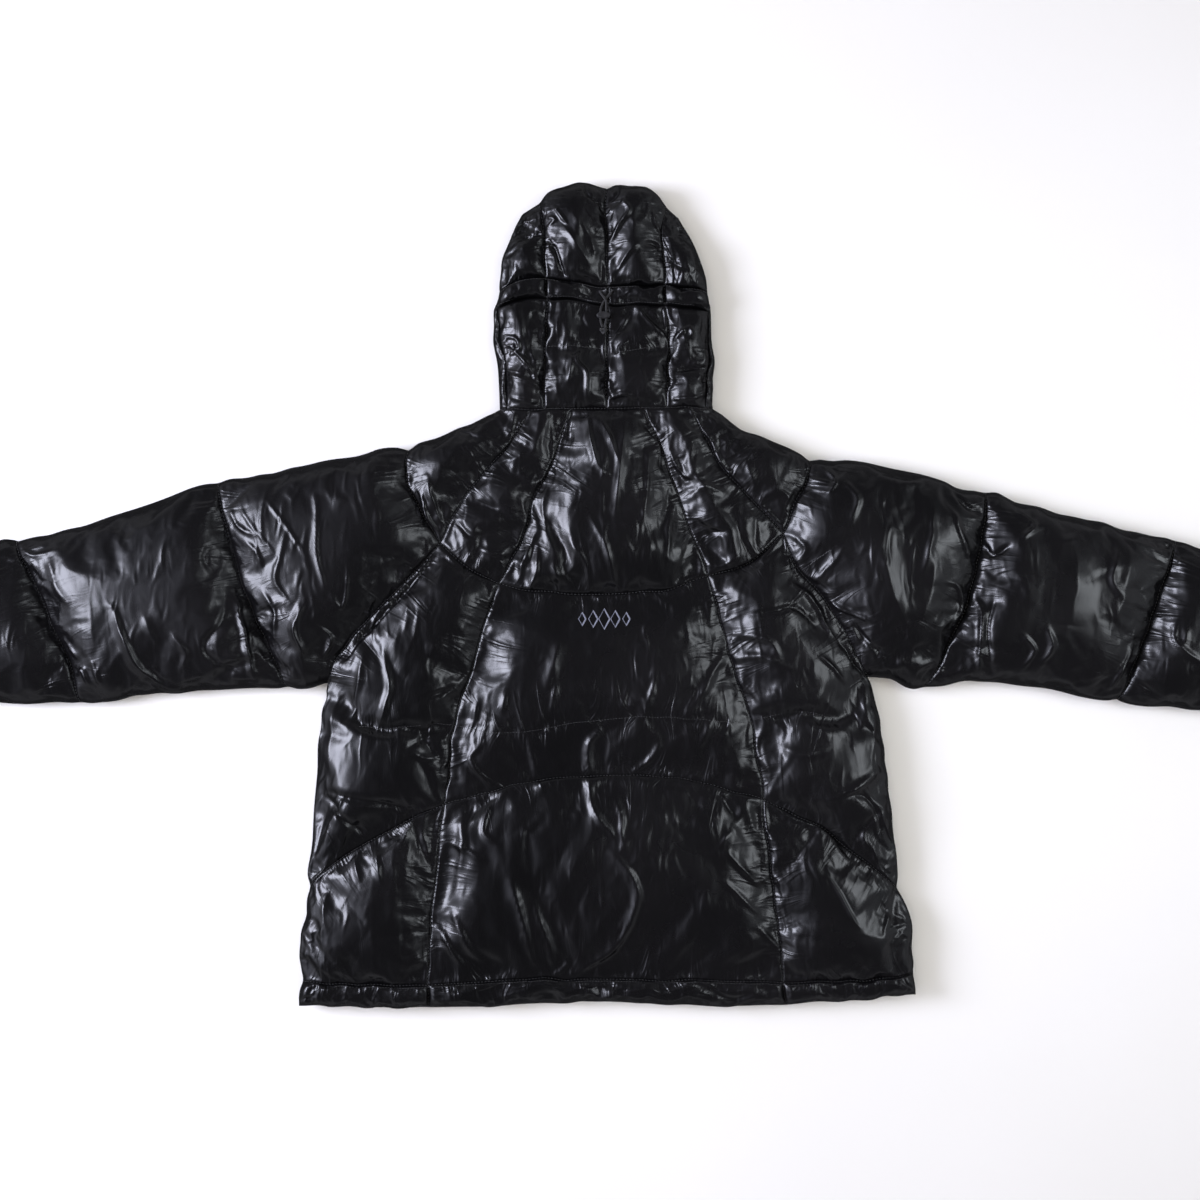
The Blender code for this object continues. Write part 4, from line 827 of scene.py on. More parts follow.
    ([(-38, 260), (-41, 232)], 4, 5, 2),
    ([(6, 263), (16, 263), (14, 271), (25, 279)], 3, 3, 2.5),
    ([(36, 312), (47, 298), (64, 285)], 4, 5, 3),
    ([(23, 306), (14, 290), (6, 277)], 4, 5, 2.5),
    ([(3, 216), (16, 220), (28, 218)], 3, 4, 3),
    ([(6, 260), (3, 238), (6, 218)], 5, 6, 2.5),
    ([(-116, 282), (-99, 279), (-96, 268), (-110, 271)], 3, 3, 2.5),
    ([(-112, 260), (-99, 263), (-79, 241), (-73, 233)], 3, 4, 3),
    ([(-110, 241), (-85, 235), (-63, 221)], 3, 4, 2.5),
    ([(-108, 217), (-74, 213)], 3, 3, 2),
    ([(69, 276), (88, 293), (94, 282)], 3, 4, 2.5),
    ([(72, 241), (94, 249), (113, 249)], 4, 4, -3),
    ([(69, 213), (94, 216), (111, 224)], 3, 3, 2.5),
    ([(-68, 304), (-73, 282), (-65, 265)], 3, 4, 2),
]
QUILT_LINES = [
    [(-168, -140), (-120, -150), (-60, -142), (40, -132), (160, -138)],
    [(160, -133), (217, -127), (253, -135)],
    [(-270, -142), (-230, -143), (-170, -139)],
    [(-68, 274), (-35, 272), (0, 270)],
    [(0, 264), (30, 268), (66, 276)],
]
quilted = [smooth(track) * MM for track in QUILT_LINES]
# How far the gathers of a seam loosen the cloth. A quilted line is as deep as that share of the
# loft and draws the cloth in over its reach, and is gathered as much as that over the second one
GATHER_REACH = 0.030
QUILT_DEPTH, QUILT_REACH, QUILT_GATHERED, QUILT_GATHER_REACH = 0.35, 0.010, 0.7, 0.015


def start_shape(plan, cut, names):
    """The height of the piece's stitched level, its rise, its slackness and what holds still."""
    pinch, _ = pinch_at(plan)
    edge = np.ones(plan.shape[:-1], bool)
    edge[1:-1, 1:-1] = False
    full = np.ones(plan.shape[:-1])
    gathered = np.zeros(plan.shape[:-1])
    for name in names:
        gap, *_ = nearest(plan, line(name))
        full = full * rounded(gap, cut.rim_reach if name in RIMS else cut.seam_reach)
        if name not in RIMS:
            gathered = np.maximum(gathered, np.exp(-(gap / GATHER_REACH) ** 2))
    for track in quilted:
        gap, *_ = nearest(plan, track)
        full = full * (1 - QUILT_DEPTH * np.exp(-(gap / QUILT_REACH) ** 2))
        drawn = QUILT_GATHERED * np.exp(-(gap / QUILT_GATHER_REACH) ** 2)
        gathered = np.maximum(gathered, drawn)
    lift = cut.loft * full
    from_pit = from_cord(plan)
    share = eased(from_pit, PIT_FLAT_REACH, PIT_FLAT_REACH + PIT_REACH)
    lift = np.minimum(lift, PIT_HEIGHT) * (1 - share) + lift * share
    lift[edge] = 0
    return FRONT_LAYER + pinch, lift, gathered * cut.slack, edge | (from_pit < PIT_FLAT_REACH)


def grid_mesh(name, points):
    """A mesh of the grid of points, its faces up."""
    columns, rows = points.shape[:2]
    at = np.arange(columns * rows).reshape(columns, rows)
    faces = np.stack([at[:-1, :-1], at[1:, :-1], at[1:, 1:], at[:-1, 1:]], axis=-1).reshape(-1, 4)
    mesh = bpy.data.meshes.new(name)
    mesh.from_pydata(points.reshape(-1, 3).tolist(), [], faces.tolist())
    if sum(face.normal.z for face in mesh.polygons) < 0:
        mesh.flip_normals()
    return mesh


def shell_piece(name, plan, heights):
    """A piece of shell cloth over the settled plan points, at those heights."""
    mesh = grid_mesh(name, np.concatenate([settled(plan), heights[..., None]], axis=-1))
    return cloth_object(f"shell_{name}", mesh, shell, name)


# Each piece's grid is cut in this many times its lines' steps, and the filling runs for this many
# steps
FINER = 5
FILL_STEPS = 30
# The cloth grows by that share of its size where it is cut, and by that where it is most gathered
EASE, MOST_EASE = 0.035, 0.15
filling = {}
for name, (cut, *sides) in back_pieces.items():
    plan = patch(sides, FINER)
    names = [n for group in sides for n in group]
    level, lift, slack, held = start_shape(plan, cut, names)
    piece = shell_piece(name, plan, level + lift)
    filling[name] = (piece, plan, level, names, cut)
    pins = piece.vertex_groups.new(name="stitched")
    pins.add(np.flatnonzero(held.ravel()).tolist(), 1.0, "REPLACE")
    ease = piece.vertex_groups.new(name="ease")
    for k, weight in enumerate(slack.ravel()):
        ease.add([k], float(weight), "REPLACE")
    drape = piece.modifiers.new("drape", "CLOTH")
    cloth = drape.settings
    cloth.quality = 5
    cloth.tension_stiffness, cloth.compression_stiffness, cloth.shear_stiffness = 15, 12, 5
    cloth.bending_stiffness = 0.04
    cloth.use_pressure, cloth.uniform_pressure_force = True, 0.7
    cloth.vertex_group_mass, cloth.vertex_group_shrink = "stitched", "ease"
    cloth.shrink_min, cloth.shrink_max = -EASE * cut.slack, -MOST_EASE
    cloth.effector_weights.gravity = 0
    drape.collision_settings.use_collision = False
    drape.point_cache.frame_end = FILL_STEPS

for step in range(1, FILL_STEPS + 1):
    scene.frame_set(step)


def close_pouch(piece, base):
    """Walls the cloth's edge down or up to the plain inside at base, and closes that."""
    form = bmesh.new()
    form.from_mesh(piece.data)
    edge = [e for e in form.edges if e.is_boundary]
    walls = bmesh.ops.extrude_edge_only(form, edges=edge)["geom"]
    for vert in (g for g in walls if isinstance(g, bmesh.types.BMVert)):
        vert.co.z = base
    rim = [g for g in walls if isinstance(g, bmesh.types.BMEdge) and g.is_boundary]
    inside = bmesh.ops.edgeloop_fill(form, edges=rim)["faces"]
    bmesh.ops.recalc_face_normals(form, faces=form.faces)
    for face in form.faces:
        face.smooth = face not in inside
    form.to_mesh(piece.data)
    form.free()


def finer_grid(points):
    """The grid with a row between every two, smoothed as cloth is. Its outline stays in place."""
    for axis in (0, 1):
        rows = np.moveaxis(points, axis, 0)
        out = np.empty((2 * len(rows) - 1, *rows.shape[1:]))
        out[1::2] = (rows[:-1] + rows[1:]) / 2
        out[2:-1:2] = (rows[:-2] + 6 * rows[1:-1] + rows[2:]) / 8
        out[0], out[-1] = rows[0], rows[-1]
        points = np.moveaxis(out, 0, axis)
    return points


chance = np.random.default_rng(23)
FOLDS_SPAN, FOLDS_BEFORE = 1.6, 0.3  # the stretch that folds are laid over, and where it starts


def folds_along(place, pitch):
    """Crests and troughs in turn, of uneven width and height, joined by straight slopes."""
    count = int(FOLDS_SPAN / pitch)
    knots = np.cumsum(chance.uniform(0.5, 1.5, count) * pitch) - FOLDS_BEFORE
    heights = chance.uniform(0.1, 1, count) * np.where(np.arange(count) % 2, 1, -1)
    return np.interp(place, knots, heights)


# Gathers that run out from a seam: how far apart, how high and how long, in millimetres
GATHERS = [(6, 0.7, 10), (11, 1.0, 20), (23, 1.3, 45)]
GATHER_LEAN, GATHER_UNEVEN = 0.35, 0.45
BROAD_GATHER = 15  # gathers further apart than that follow how crumpled the piece lies
# Straight creases pressed in by folding: direction in degrees, how far apart and how high
PRESSED = [(3, 13, 0.35), (24, 21, 0.5), (-31, 17, 0.4), (62, 26, 0.5), (-26, 34, 1.1),
           (83, 41, 0.9)]
# How far the creases bend and over which length, and the lengths of the patches they show in
PRESSED_BEND, PRESSED_BEND_LENGTH, PATCH_ACROSS, PATCH_ALONG = 0.004, 0.045, 0.03, 0.05


def gathered_lines(plan, names):
    """The lines that a piece is gathered along: its seams, and a quilted line in its middle."""
    low, high = plan.min(axis=(0, 1)), plan.max(axis=(0, 1))
    inner = [q for q in quilted if (q.mean(axis=0) > low).all() and (q.mean(axis=0) < high).all()]
    return [line(name) for name in seams_of(names)] + inner


def gathers(plan, tracks, crumpled):
    """Folds across the tracks, most uneven and leaning where they run on far."""
    total = np.zeros(plan.shape[:-1])
    for track in tracks:
        gap, where, _ = nearest(plan, track)
        for pitch, height, length in GATHERS:
            lean = where + gap * GATHER_LEAN * folds_along(where, 4 * pitch * MM)
            uneven = 1 + GATHER_UNEVEN * (folds_along(where, 5 * pitch * MM) - 1)
            fold = height * MM * uneven * folds_along(lean, pitch * MM)
            fold *= np.exp(-gap / (length * MM))
            total += fold * (crumpled if pitch > BROAD_GATHER else 1)
    return total


def turned(points, angle):
    """How far along that direction the plan points are, and how far across it."""
    return (points @ np.array((math.cos(angle), math.sin(angle))),
            points @ np.array((-math.sin(angle), math.cos(angle))))


def pressed(plan):
    """Flat facets between straight creases, a little bent and stronger in some patches."""
    total = np.zeros(plan.shape[:-1])
    for degrees, pitch, height in PRESSED:
        ahead, side = turned(plan, math.radians(degrees))
        bend = PRESSED_BEND * np.sin(side / PRESSED_BEND_LENGTH + chance.uniform(0, 6))
        patchy = np.sin(side / PATCH_ACROSS + chance.uniform(0, 6)) * np.sin(ahead / PATCH_ALONG)
        total += height * MM * (0.8 + 0.5 * patchy) * folds_along(ahead + bend, pitch * MM)
    return total


WIDEST_CREASE = 0.012  # creases further than that from a piece don't reach it


def kept_creases(plan):
    """The creases of the table, each a rounded crest that runs out at both ends."""
    total = np.zeros(plan.shape[:-1])
    low, high = plan.min(axis=(0, 1)) - WIDEST_CREASE, plan.max(axis=(0, 1)) + WIDEST_CREASE
    for crest, left_width, right_width, height in CREASES:
        track = smooth(crest, 4) * MM
        if (track.max(axis=0) < low).any() or (track.min(axis=0) > high).any():
            continue
        gap, where, left = nearest(plan, track)
        share = np.clip(1 - gap / (np.where(left, left_width, right_width) * MM), 0, 1)
        ends = np.sin(np.clip(where / length_of(track), 0.02, 0.98) * math.pi) ** 0.6
        total += height * MM * share ** 1.5 * ends
    return total


# The share of height kept grows by that much over this stretch from the seam. Creases are left
# off the outermost millimetres, and off the cloth under the stopper up to that far round it
KEPT_GAIN, KEPT_REACH = 0.22, (0.004, 0.045)
EDGE_STILL, PIT_STILL = 0.005, 0.008


def creased(points, plan, level, names, cut):
    """The filled cloth with its gathers and creases, pressed flatter towards its seams."""
    points = points.copy()
    gain = min(1, cut.kept + KEPT_GAIN) - cut.kept
    share = cut.kept + gain * eased(from_lines(plan, seams_of(names)), *KEPT_REACH)
    points[..., 2] = level + (points[..., 2] - level) * share
    facing = np.cross(np.gradient(points, axis=0), np.gradient(points, axis=1))
    facing /= np.linalg.norm(facing, axis=-1, keepdims=True)
    facing *= np.sign(facing[..., 2].sum())
    height = gathers(plan, gathered_lines(plan, names), cut.crumpled)
    height += cut.crumpled * pressed(plan) + kept_creases(plan)
    height *= eased(from_lines(plan, names), 0.0, EDGE_STILL)
    height *= eased(from_cord(plan), PIT_FLAT_REACH, PIT_FLAT_REACH + PIT_STILL)
    return points + facing * height[..., None]


# Each seam's points are numbered that far apart, and a seam stops where another is as near
SEAM_APART, SEAM_ALONE = 3, (0.004, 0.020)


def note_seams(piece, plan, names):
    """Stores how far each point is from its nearest seam, where along it, and a share that falls
    to 0 where another seam is as near. The puckers in the shell cloth read them."""
    away = np.full(plan.shape[:-1], 1.0)
    second = np.full(plan.shape[:-1], 1.0)
    along = np.zeros(plan.shape[:-1])
    for k, track in enumerate(gathered_lines(plan, names)):
        gap, where, _ = nearest(plan, track)
        second = np.minimum(second, np.maximum(gap, away))
        along = np.where(gap < away, where + SEAM_APART * k, along)
        away = np.minimum(away, gap)
    alone = eased(second - away, *SEAM_ALONE)
    for label, values in (("seam_away", away), ("seam_along", along), ("seam_alone", alone)):
        store = piece.data.attributes.new(label, "FLOAT", "POINT")
        store.data.foreach_set("value", values.ravel().astype(np.float32))


def soft_top(heights, floor, top):
    """Heights over floor eased so that none passes top."""
    rise, room = heights - floor, top - floor
    knee = 0.6 * room
    over = np.maximum(rise - knee, 0)
    return floor + np.minimum(rise, knee) + (room - knee) * (1 - np.exp(-over / (room - knee)))


# The least thickness over the inside, and how far past its solid's top the cloth may puff up and
# its creases may then stand
THINNEST, PUFF_OVER, CREASE_OVER = 0.001, 0.003, 0.008
steps_graph = bpy.context.evaluated_depsgraph_get()
for name, (piece, plan, level, names, cut) in filling.items():
    filled = bpy.data.meshes.new_from_object(piece.evaluated_get(steps_graph))
    co = np.empty(len(filled.vertices) * 3)
    filled.vertices.foreach_get("co", co)
    points = finer_grid(co.reshape(*plan.shape[:2], 3))
    plan, level = finer_grid(plan), finer_grid(level)
    lowest, highest = FRONT_LAYER + THINNEST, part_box(name)[1].z
    points[..., 2] = soft_top(np.maximum(points[..., 2], lowest), FRONT_LAYER,
                              highest + PUFF_OVER)
    points = creased(points, plan, level, names, cut)
    points[..., 2] = np.clip(points[..., 2], lowest, highest + CREASE_OVER)
    piece.modifiers.clear()
    piece.vertex_groups.clear()
    piece.data = grid_mesh(name, points)
    piece.data.materials.append(shell)
    note_seams(piece, plan, names)
    close_pouch(piece, FRONT_LAYER + SEAM_GAP / 2)

# ---- Front pieces ---------------------------------------------------------------------------
# The fronts, the front halves of the sleeves and shoulders and the hood's folded-under sides lie
# on the table, pressed flat by their own weight, and round up to the outer edges.

FRONT_GROOVE = 0.005
FRONT_SEAM_REACH, FRONT_RIM_REACH = 0.012, 0.026
FRONT_UNEVEN = 0.0035
SIDED_FRONT = {
    "front": (["hem_front"], ["zip_front"], ["neck_front", "raglan_top", "raglan_low"],
              ["rim_side_upper", "rim_side_lower"]),
    "hem_front": (["rim_hem_front"], ["zip_hem"], ["hem_front"], ["rim_hem_end"]),
    "hood_under": (["neck_under"], ["hood_opening"], ["rim_temple_tip", "rim_crown"],
                   ["rim_cheek", "rim_tunnel", "rim_temple"]),
    "shoulder_front": SIDED_BACK["shoulder"][1:],
    "sleeve_upper_front": SIDED_BACK["sleeve_upper"][1:],
    "sleeve_middle_front": SIDED_BACK["sleeve_middle"][1:],
    "sleeve_lower_front": SIDED_BACK["sleeve_lower"][1:],
}
front_pieces = {f"{name}_{side}": on_side(sides, side)
                for side in SIDES for name, sides in SIDED_FRONT.items()}

WAVE_COUNT = 14
waves = np.random.default_rng(7)
directions = waves.uniform(0, 2 * math.pi, WAVE_COUNT)
pitches = waves.uniform(0.018, 0.055, WAVE_COUNT)
phases = waves.uniform(0, 2 * math.pi, WAVE_COUNT)


def crumple(points):
    """Smooth unevenness between 0 and about 1, the same wherever two pieces meet."""
    total = np.zeros(points.shape[:-1])
    for direction, pitch, phase in zip(directions, pitches, phases):
        ahead, side = turned(points, direction)
        total += 1 - np.abs(np.sin(math.pi * ahead / pitch + phase + 1.5 * np.sin(side / pitch)))
    return total / WAVE_COUNT


for name, sides in front_pieces.items():
    plan = patch(sides, 3)
    names = [n for group in sides for n in group]
    _, edge_gap = pinch_at(plan)
    full = np.ones(plan.shape[:-1])
    for seam in names:
        gap, *_ = nearest(plan, line(seam))
        full = full * rounded(gap, FRONT_RIM_REACH if seam in RIMS else FRONT_SEAM_REACH)
    rim_low = FRONT_LAYER - RIM_PINCH
    low = rim_low + (FRONT_GROOVE - rim_low) * rounded(edge_gap, RIM_PINCH_REACH)
    heights = np.maximum(low * (1 - full), 0) + FRONT_UNEVEN * crumple(plan) * full
    piece = shell_piece(name, plan, heights)
    note_seams(piece, plan, names)
    close_pouch(piece, FRONT_LAYER - SEAM_GAP / 2)

# ---- Cuffs ----------------------------------------------------------------------------------
# A band of the same nylon over elastic closes each sleeve. The elastic draws the cloth in, in
# narrow pleats that run along the sleeve.

CUFF_LOW, CUFF_HIGH = 0.003, 0.033
CUFF_SLIT_HALF, CUFF_WALL, CUFF_WAIST = 0.0006, 0.006, 0.0015
CUFF_AROUND, CUFF_ALONG = 240, 16
CUFF_PLEATS, CUFF_PLEAT_DEPTH = 34, 0.0011


def bridge(form, rings):
    """Smooth faces between each ring of points and the next."""
    for here, there in zip(rings, rings[1:]):
        for a, b, c, d in zip(here, here[1:] + here[:1], there[1:] + there[:1], there):
            form.faces.new((a, b, c, d)).smooth = True


angles = 2 * math.pi * np.arange(CUFF_AROUND) / CUFF_AROUND
share = 0.5 - 0.5 * np.cos(angles)
bulge = np.sign(np.sin(angles)) * np.abs(np.sin(angles)) ** 0.6
pleats = CUFF_PLEAT_DEPTH * (0.5 + 0.5 * np.cos(CUFF_PLEATS * angles + 0.8 * np.sin(3 * angles)))
for side in SIDES:
    start, end = line(f"cuff_seam_{side}"), line(f"cuff_end_{side}")
    out = (end[0] - start[0]) / np.linalg.norm(end[0] - start[0])
    outer, inner = [], []
    for t in np.linspace(0, 1, CUFF_ALONG + 1):
        low, high = [start[k] * (1 - t) + end[k] * t + out * SEAM_GAP * (1 - t) for k in (-1, 0)]
        across = (high - low) / np.linalg.norm(high - low)
        draw = CUFF_WAIST * math.sin(math.pi * t)
        pleat = pleats * min(1, 4 * t + 0.2) * (0.7 + 0.3 * math.cos(6 * math.pi * t))
        inset_by = (draw + pleat)[:, None] * np.sign(0.5 - share)[:, None] * across
        plan = low + (high - low) * share[:, None] + inset_by * np.abs(np.cos(angles))[:, None]
        half = np.where(bulge > 0, CUFF_HIGH - FRONT_LAYER, FRONT_LAYER - CUFF_LOW) - draw - pleat
        outer.append(np.column_stack([plan, FRONT_LAYER + half * bulge]))
        plan = low + across * CUFF_WALL + (high - low - 2 * across * CUFF_WALL) * share[:, None]
        inner.append(np.column_stack([plan, FRONT_LAYER + CUFF_SLIT_HALF * bulge]))
    form = bmesh.new()
    rings = [[form.verts.new(p) for p in ring]
             for ring in [*outer, *reversed(inner[::CUFF_ALONG])]]
    bridge(form, [*rings, rings[0]])
    bmesh.ops.recalc_face_normals(form, faces=form.faces)
    mesh = mesh_from(form, f"cuff_{side}")
    cuff = cloth_object(f"cuff_band_{side}", mesh, shell, f"cuff_{side}")

# ---- Thread ---------------------------------------------------------------------------------
# Black topstitching, 3 mm to the stitch, runs along both sides of the drawcord tunnel, the hood's
# casing, the hem band and the quilted lines. Every seam is closed with longer stitches.

bpy.context.view_layer.update()


def top_of(spots):
    """The height of the back's outer face under each plan point, 0 off the jacket."""
    heights = np.zeros(len(spots))
    for piece, *_ in filling.values():
        corners = np.array(piece.bound_box)[:, :2]
        inside = ((spots >= corners.min(axis=0)) & (spots <= corners.max(axis=0))).all(axis=1)
        for k in np.flatnonzero(inside):
            struck, spot, *_ = piece.ray_cast((*spots[k], 1), (0, 0, -1))
            if struck:
                heights[k] = max(heights[k], spot.z)
    return heights


def groove(spots):
    """The height that the seams are stitched at."""
    return FRONT_LAYER + pinch_at(spots)[0]


# Twisted polyester thread: half dull. Its colour is painted paler on the crests of its twist and
# darker between them, a painted highlight and painted shade
thread, tree, shader, place = new_material("black_thread", Roughness=0.55, Sheen_Weight=0.2)
twist_with_painted_highlight = add(tree, "TexWave", {"Vector": place, "Scale": scale_for(0.449, WAVE_BAND),
                              "Distortion": 1.5}).outputs["Fac"]
feed(shader, {
    "Base Color": add(tree, "ValToRGB", {"Fac": twist_with_painted_highlight}, [(0.2, "#0b0b0c"), (0.8, "#242427")]),
    "Normal": add(tree, "Bump", {"Height": twist_with_painted_highlight, "Strength": 0.4, "Distance": 0.0001}),
})


def stitch(form, start, end, radius, sides=6):
    """One stitch: a short thread that dips into the cloth at both ends."""
    start, end = Vector(start), Vector(end)
    forward = (end - start).normalized()
    sideways = forward.cross(Vector((0, 0, 1))).normalized()
    up = sideways.cross(forward)
    rings = []
    for t in (0, 0.3, 0.7, 1):
        size = radius * (0.55 if t in (0, 1) else 1)
        middle = start.lerp(end, t) + up * (size - radius)
        rings.append([form.verts.new(middle + size * (math.cos(a) * sideways + math.sin(a) * up))
                      for a in [k * 2 * math.pi / sides for k in range(sides)]])
    bridge(form, rings)
    form.faces.new(rings[0][::-1])
    form.faces.new(rings[-1])


def topstitch(name, tracks, pitch=0.0031, gap=0.0008, radius=0.00028, heights=top_of):
    """Rows of stitches along the tracks, in metres, at the heights that function gives."""
    starts, ends = [], []
    for track in tracks:
        spots = evenly(track, max(2, round(length_of(track) / pitch)))
        step = np.diff(spots, axis=0)
        step *= gap / 2 / np.linalg.norm(step, axis=1, keepdims=True)
        starts.append(spots[:-1] + step)
        ends.append(spots[1:] - step)
    starts, ends = np.concatenate(starts), np.concatenate(ends)
    low, high = heights(starts), heights(ends)
    form = bmesh.new()
    for start, end, z0, z1 in zip(settled(starts), settled(ends), low, high):
        if min(z0, z1) > FRONT_LAYER:
            stitch(form, (*start, z0 + radius), (*end, z1 + radius), radius)
    return cloth_object(name, mesh_from(form, name), thread)


def beside(names, by):
    """The lines' polyline, moved sideways by that much."""
    track = chain(names, 4)
    step = np.gradient(track, axis=0)
    normal = np.stack([-step[:, 1], step[:, 0]], axis=1)
    return track + by * normal / np.linalg.norm(normal, axis=1, keepdims=True)


TUNNEL_ROW, CASING_ROW, HEM_ROW = 0.0022, 0.002, 0.0020  # how far from the seam each row runs
ACROSS_HOOD = ("side_left", "left", "right", "side_right")
topstitch("stitching_tunnel", [beside([f"tunnel_top_{part}" for part in ACROSS_HOOD], -TUNNEL_ROW),
                               beside([f"tunnel_low_{part}" for part in ACROSS_HOOD], TUNNEL_ROW)])
topstitch("stitching_casing", [beside(["casing_left"], CASING_ROW),
                               beside(["casing_right"], -CASING_ROW)])
topstitch("stitching_hem", [beside(["hem_side_left", "hem_centre", "hem_side_right"], -HEM_ROW)])
topstitch("stitching_quilt", quilted)
NOT_ON_BACK = ("rim", "neck_front", "neck_under", "zip", "cuff", "hem_front", "hood_opening",
               "tunnel", "casing")
topstitch("stitching_seams", [line(n, 4) for n in LINES if not n.startswith(NOT_ON_BACK)],
          pitch=0.0036, gap=0.0012, radius=0.00032, heights=groove)

# ---- Embroidery -----------------------------------------------------------------------------
# A plain ornament under the yoke seam: five open lozenges, satin stitched in pale grey rayon,
# which is brighter and glossier than the black thread.

silver, tree, shader, place = new_material("grey_embroidery_thread", Roughness=0.4,
                                           Sheen_Weight=0.3)
strand = add(tree, "TexWave", {"Vector": place, "Scale": scale_for(0.1963, WAVE_BAND),
                               "Distortion": 0.4}).outputs["Fac"]
# The colour is painted paler on the strands' crests and darker between them, a painted highlight
# and painted shade on the pale grey rayon
feed(shader, {
    "Base Color": add(tree, "ValToRGB", {"Fac": strand}, [(0.1, "#666a7c"), (0.9, "#9ea2b6")]),
    "Normal": add(tree, "Bump", {"Height": strand, "Strength": 0.4, "Distance": 0.0001}),
})
# Each lozenge's middle, half width and half height, and the stitches, all in millimetres
LOZENGES = [(-27, 4, 7), (-15, 5, 9), (-3, 6, 11), (9, 5, 9), (21, 4, 7)]
ORNAMENT_Y = -25
SATIN_PITCH, SATIN_HALF, SATIN_LIFT, SATIN_RADIUS = 0.55, 0.65, 0.3, 0.32
form = bmesh.new()
for middle, half_wide, half_high in LOZENGES:
    right, top = (half_wide, 0), (0, half_high)
    corners = np.array([right, top, (-half_wide, 0), (0, -half_high), right], float)
    spots = evenly(corners, 4 * round(half_high / SATIN_PITCH))
    for spot, out in zip(spots, spots / np.linalg.norm(spots, axis=1, keepdims=True)):
        lean = np.array((0.25, 0.5 * np.sign(out[0] * out[1])))
        ends = np.array((middle, ORNAMENT_Y)) + spot
        ends = (ends + np.outer((-SATIN_HALF, SATIN_HALF), out + lean)) * MM
        stitch(form, *[(*end, z + SATIN_LIFT * MM) for end, z in zip(ends, top_of(ends))],
               SATIN_RADIUS * MM)
cloth_object("embroidery", mesh_from(form, "embroidery"), silver)

# ---- Zip ------------------------------------------------------------------------------------
# Black coil zip, closed, in woven tape, with a lacquered slider and pull. Only its outer side
# shows, against the table.

ZIP_TAPE_LOW, ZIP_TAPE_THICK = 0.0087, 0.0012
ZIP_TOP, ZIP_BOTTOM, ZIP_HALF = 0.198, -0.446, 0.01185
TAPE_DIP = 0.0002
COIL_PITCH, COIL_OUT, COIL_DOWN = 0.0016, 0.0006, 0.0008
COIL_BEAD = (0.0019, 0.00062, 0.0009)
# Woven polyester tape is dull, with slanting ribs. Their colour is painted paler on the crests and
# darker in the grooves, a painted highlight and painted shade
tape_cloth, tree, shader, place = new_material("zip_tape", Roughness=0.7, Sheen_Weight=0.2)
ribs_and_painted_shade = add(tree, "TexWave", {"Vector": place, "Scale": scale_for(0.748, WAVE_BAND),
                             "Distortion": 0.3}, bands_direction="DIAGONAL").outputs["Fac"]
feed(shader, {
    "Base Color": add(tree, "ValToRGB", {"Fac": ribs_and_painted_shade}, [(0.1, "#131315"), (0.9, "#26262a")]),
    "Normal": add(tree, "Bump", {"Height": ribs_and_painted_shade, "Strength": 0.5, "Distance": 0.0002}),
})
form = bmesh.new()
bmesh.ops.create_grid(form, x_segments=16, y_segments=120, size=0.5)
for vert in form.verts:
    x, y = vert.co.x * 2, vert.co.y + 0.5
    dip = TAPE_DIP * math.cos(9 * math.pi * x)
    vert.co = (x * ZIP_HALF, ZIP_BOTTOM + y * (ZIP_TOP - ZIP_BOTTOM), ZIP_TAPE_LOW + TAPE_DIP + dip)
upper = bmesh.ops.extrude_face_region(form, geom=list(form.faces))["geom"]
for vert in (g for g in upper if isinstance(g, bmesh.types.BMVert)):
    vert.co.z = ZIP_TAPE_LOW + ZIP_TAPE_THICK
# The coil: a bead for each turn of the monofilament, alternately from either tape
for k in range(int((ZIP_TOP - ZIP_BOTTOM) / COIL_PITCH)):
    y = ZIP_BOTTOM + (k + 0.5) * COIL_PITCH
    side = 1 if k % 2 else -1
    at = Matrix.Translation((side * COIL_OUT, y, ZIP_TAPE_LOW - COIL_DOWN))
    bmesh.ops.create_uvsphere(form, u_segments=6, v_segments=4, radius=1,
                              matrix=at @ Matrix.Diagonal((*COIL_BEAD, 1)))
bmesh.ops.recalc_face_normals(form, faces=form.faces)
mesh = mesh_from(form, "zip_tape")
mesh.shade_smooth()
mesh.set_sharp_from_angle(angle=math.radians(50))
cloth_object("zip_tape", mesh, tape_cloth, "zip")

# Black lacquer on cast zinc: a dark metal gloss, rubbed a little paler and duller in spots
lacquer, tree, shader, place = new_material("black_lacquer", Metallic=1.0, Coat_Weight=0.5)
rub = add(tree, "TexNoise", {"Vector": place, "Scale": scale_for(2.38), "Detail": 4})
feed(shader, {
    "Base Color": add(tree, "ValToRGB", {"Fac": rub}, [(0.35, "#222226"), (0.75, "#36373b")]),
    "Roughness": add(tree, "ValToRGB", {"Fac": rub}, [(0.3, 0.28), (0.7, 0.45)]),
    "Normal": add(tree, "Bump", {"Height": rub, "Strength": 0.1, "Distance": 0.0001}),
})
for name in ("zip_slider", "zip_pull"):
    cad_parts[name].material_slots[0].material = lacquer

# ---- Table and light ------------------------------------------------------------------------
# A plain pale floor. A bright window stands to the left of the jacket with a paler wall round it,
# a dim one to the right, and the room is dark above and lighter low down. A lamp overhead whitens
# the floor. The gloss of the nylon picks up neither that lamp nor the floor.

FLOOR_SIZE, FLOOR_DROP = 40, 0.0005
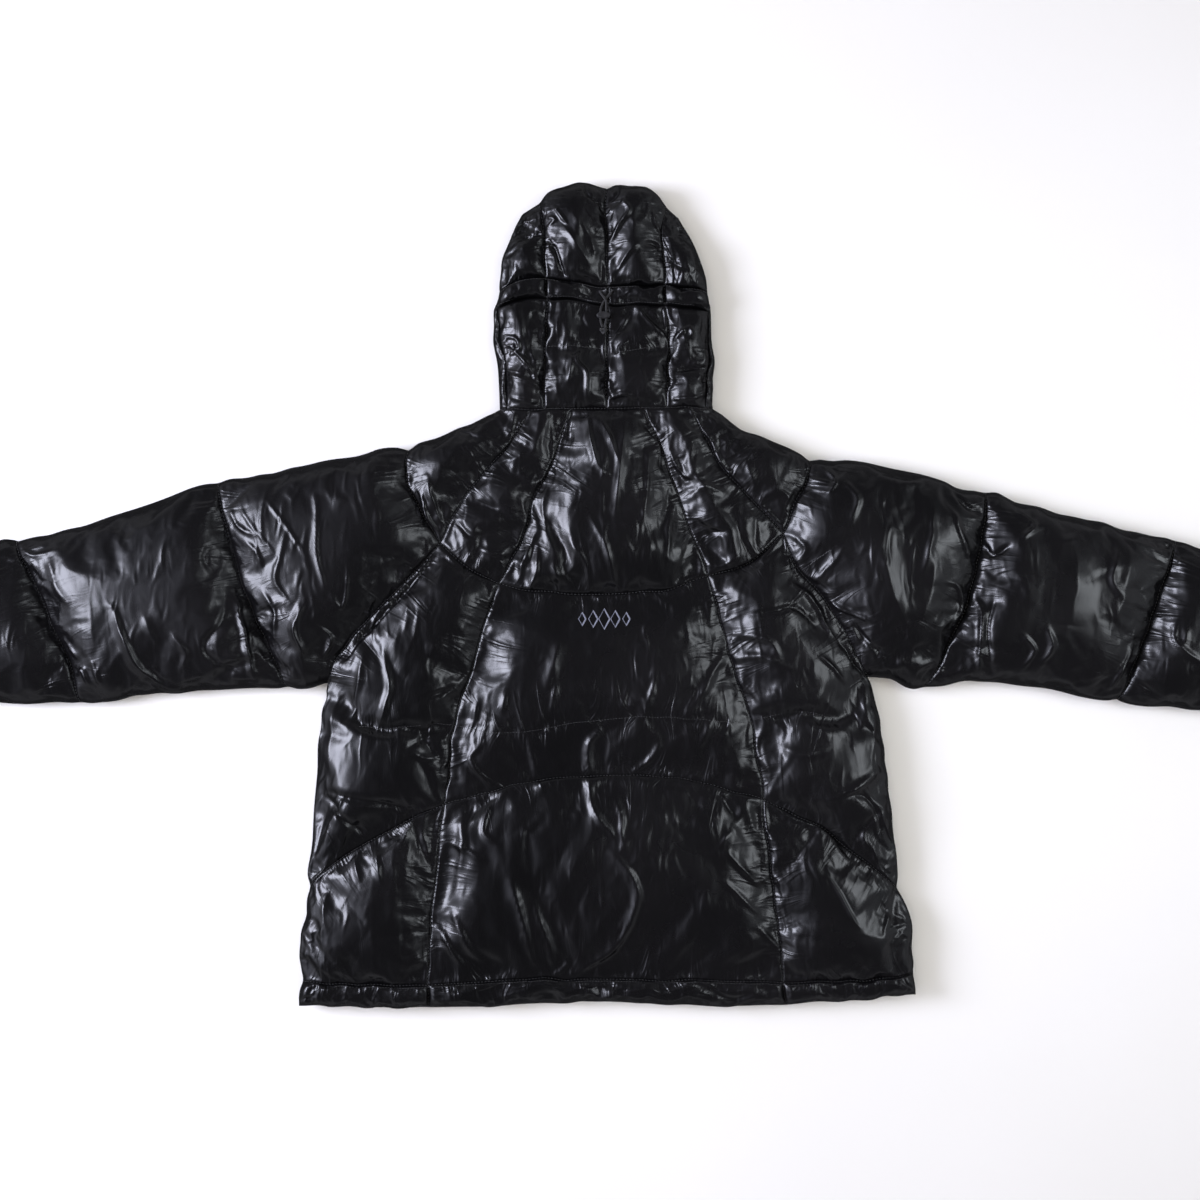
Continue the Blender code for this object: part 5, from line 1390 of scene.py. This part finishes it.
# Matt paint, faintly uneven in tone
floor_finish, tree, shader, place = new_material("pale_floor", Roughness=0.9)
mottle = add(tree, "TexNoise", {"Vector": place, "Scale": scale_for(333), "Detail": 2})
tint = add(tree, "ValToRGB", {"Fac": mottle}, [(0.3, "#f9f8f5"), (0.7, "#fbfaf8")])
feed(shader, {"Base Color": tint})
bpy.ops.mesh.primitive_plane_add(size=FLOOR_SIZE, location=(0, 0, -FLOOR_DROP))
floor = bpy.context.object
floor.name = "floor"
floor.data.materials.append(floor_finish)
floor.visible_glossy = False


def window(name, place, aim, size, power, colour, spread):
    """A round area light. size is its width and height, and spread how wide it shines."""
    light = bpy.data.lights.new(name, "AREA")
    light.shape, light.energy, light.color = "ELLIPSE", power, linear(colour)[:3]
    light.size, light.size_y = size
    light.spread = math.radians(spread)
    made = bpy.data.objects.new(name, light)
    made.location = place
    made.rotation_euler = (Vector(aim) - Vector(place)).to_track_quat("-Z", "Y").to_euler()
    scene.collection.objects.link(made)
    return made


window("window_left", (-1.75, 0.15, 1.35), (0, 0, 0), (0.95, 1.15), 45, "#e9ecff", 180)
window("window_right", (1.6, 0.1, 1.7), (0.5, 0, 0), (1.0, 1.0), 1.5, "#eaf0f6", 60)
ceiling = window("ceiling", (0, 0, 3.2), (0, 0, 0), (3.4, 3.4), 50, "#fff7ea", 180)
ceiling.visible_glossy = False
room = bpy.data.worlds.new("room")
scene.world = room
room.use_nodes = True
tree = room.node_tree
toward = add(tree, "TexCoord").outputs["Generated"]


def glow(aim, stops):
    """Light from round that way: each stop is the cosine of the angle from it, and a colour."""
    cosine = add(tree, "VectorMath", {0: toward, 1: Vector(aim).normalized()},
                 operation="DOT_PRODUCT").outputs["Value"]
    share = add(tree, "Math", {0: cosine, 1: 0.5, 2: 0.5}, operation="MULTIPLY_ADD")
    return add(tree, "ValToRGB", {"Fac": share}, [(0.5 + at / 2, colour) for at, colour in stops])


ROOM_STRENGTH = 3.0
lit = glow((0.1, 0, 1), [(-0.3, "#2a2a2c"), (0.0, "#68686c"), (0.55, "#37373a"),
                         (0.97, "#29282b")])
# The pale wall round either window
for aim, dim, bright in [((-0.82, 0.04, 0.57), "#232328", "#9fa1b0"),
                         ((0.82, 0.10, 0.57), "#17181a", "#55585c")]:
    wall = glow(aim, [(0.64, "#000000"), (0.82, dim), (0.97, bright)])
    lit = add(tree, "VectorMath", {0: lit, 1: wall}, operation="ADD")
feed(tree.nodes["Background"], {"Color": lit, "Strength": ROOM_STRENGTH})
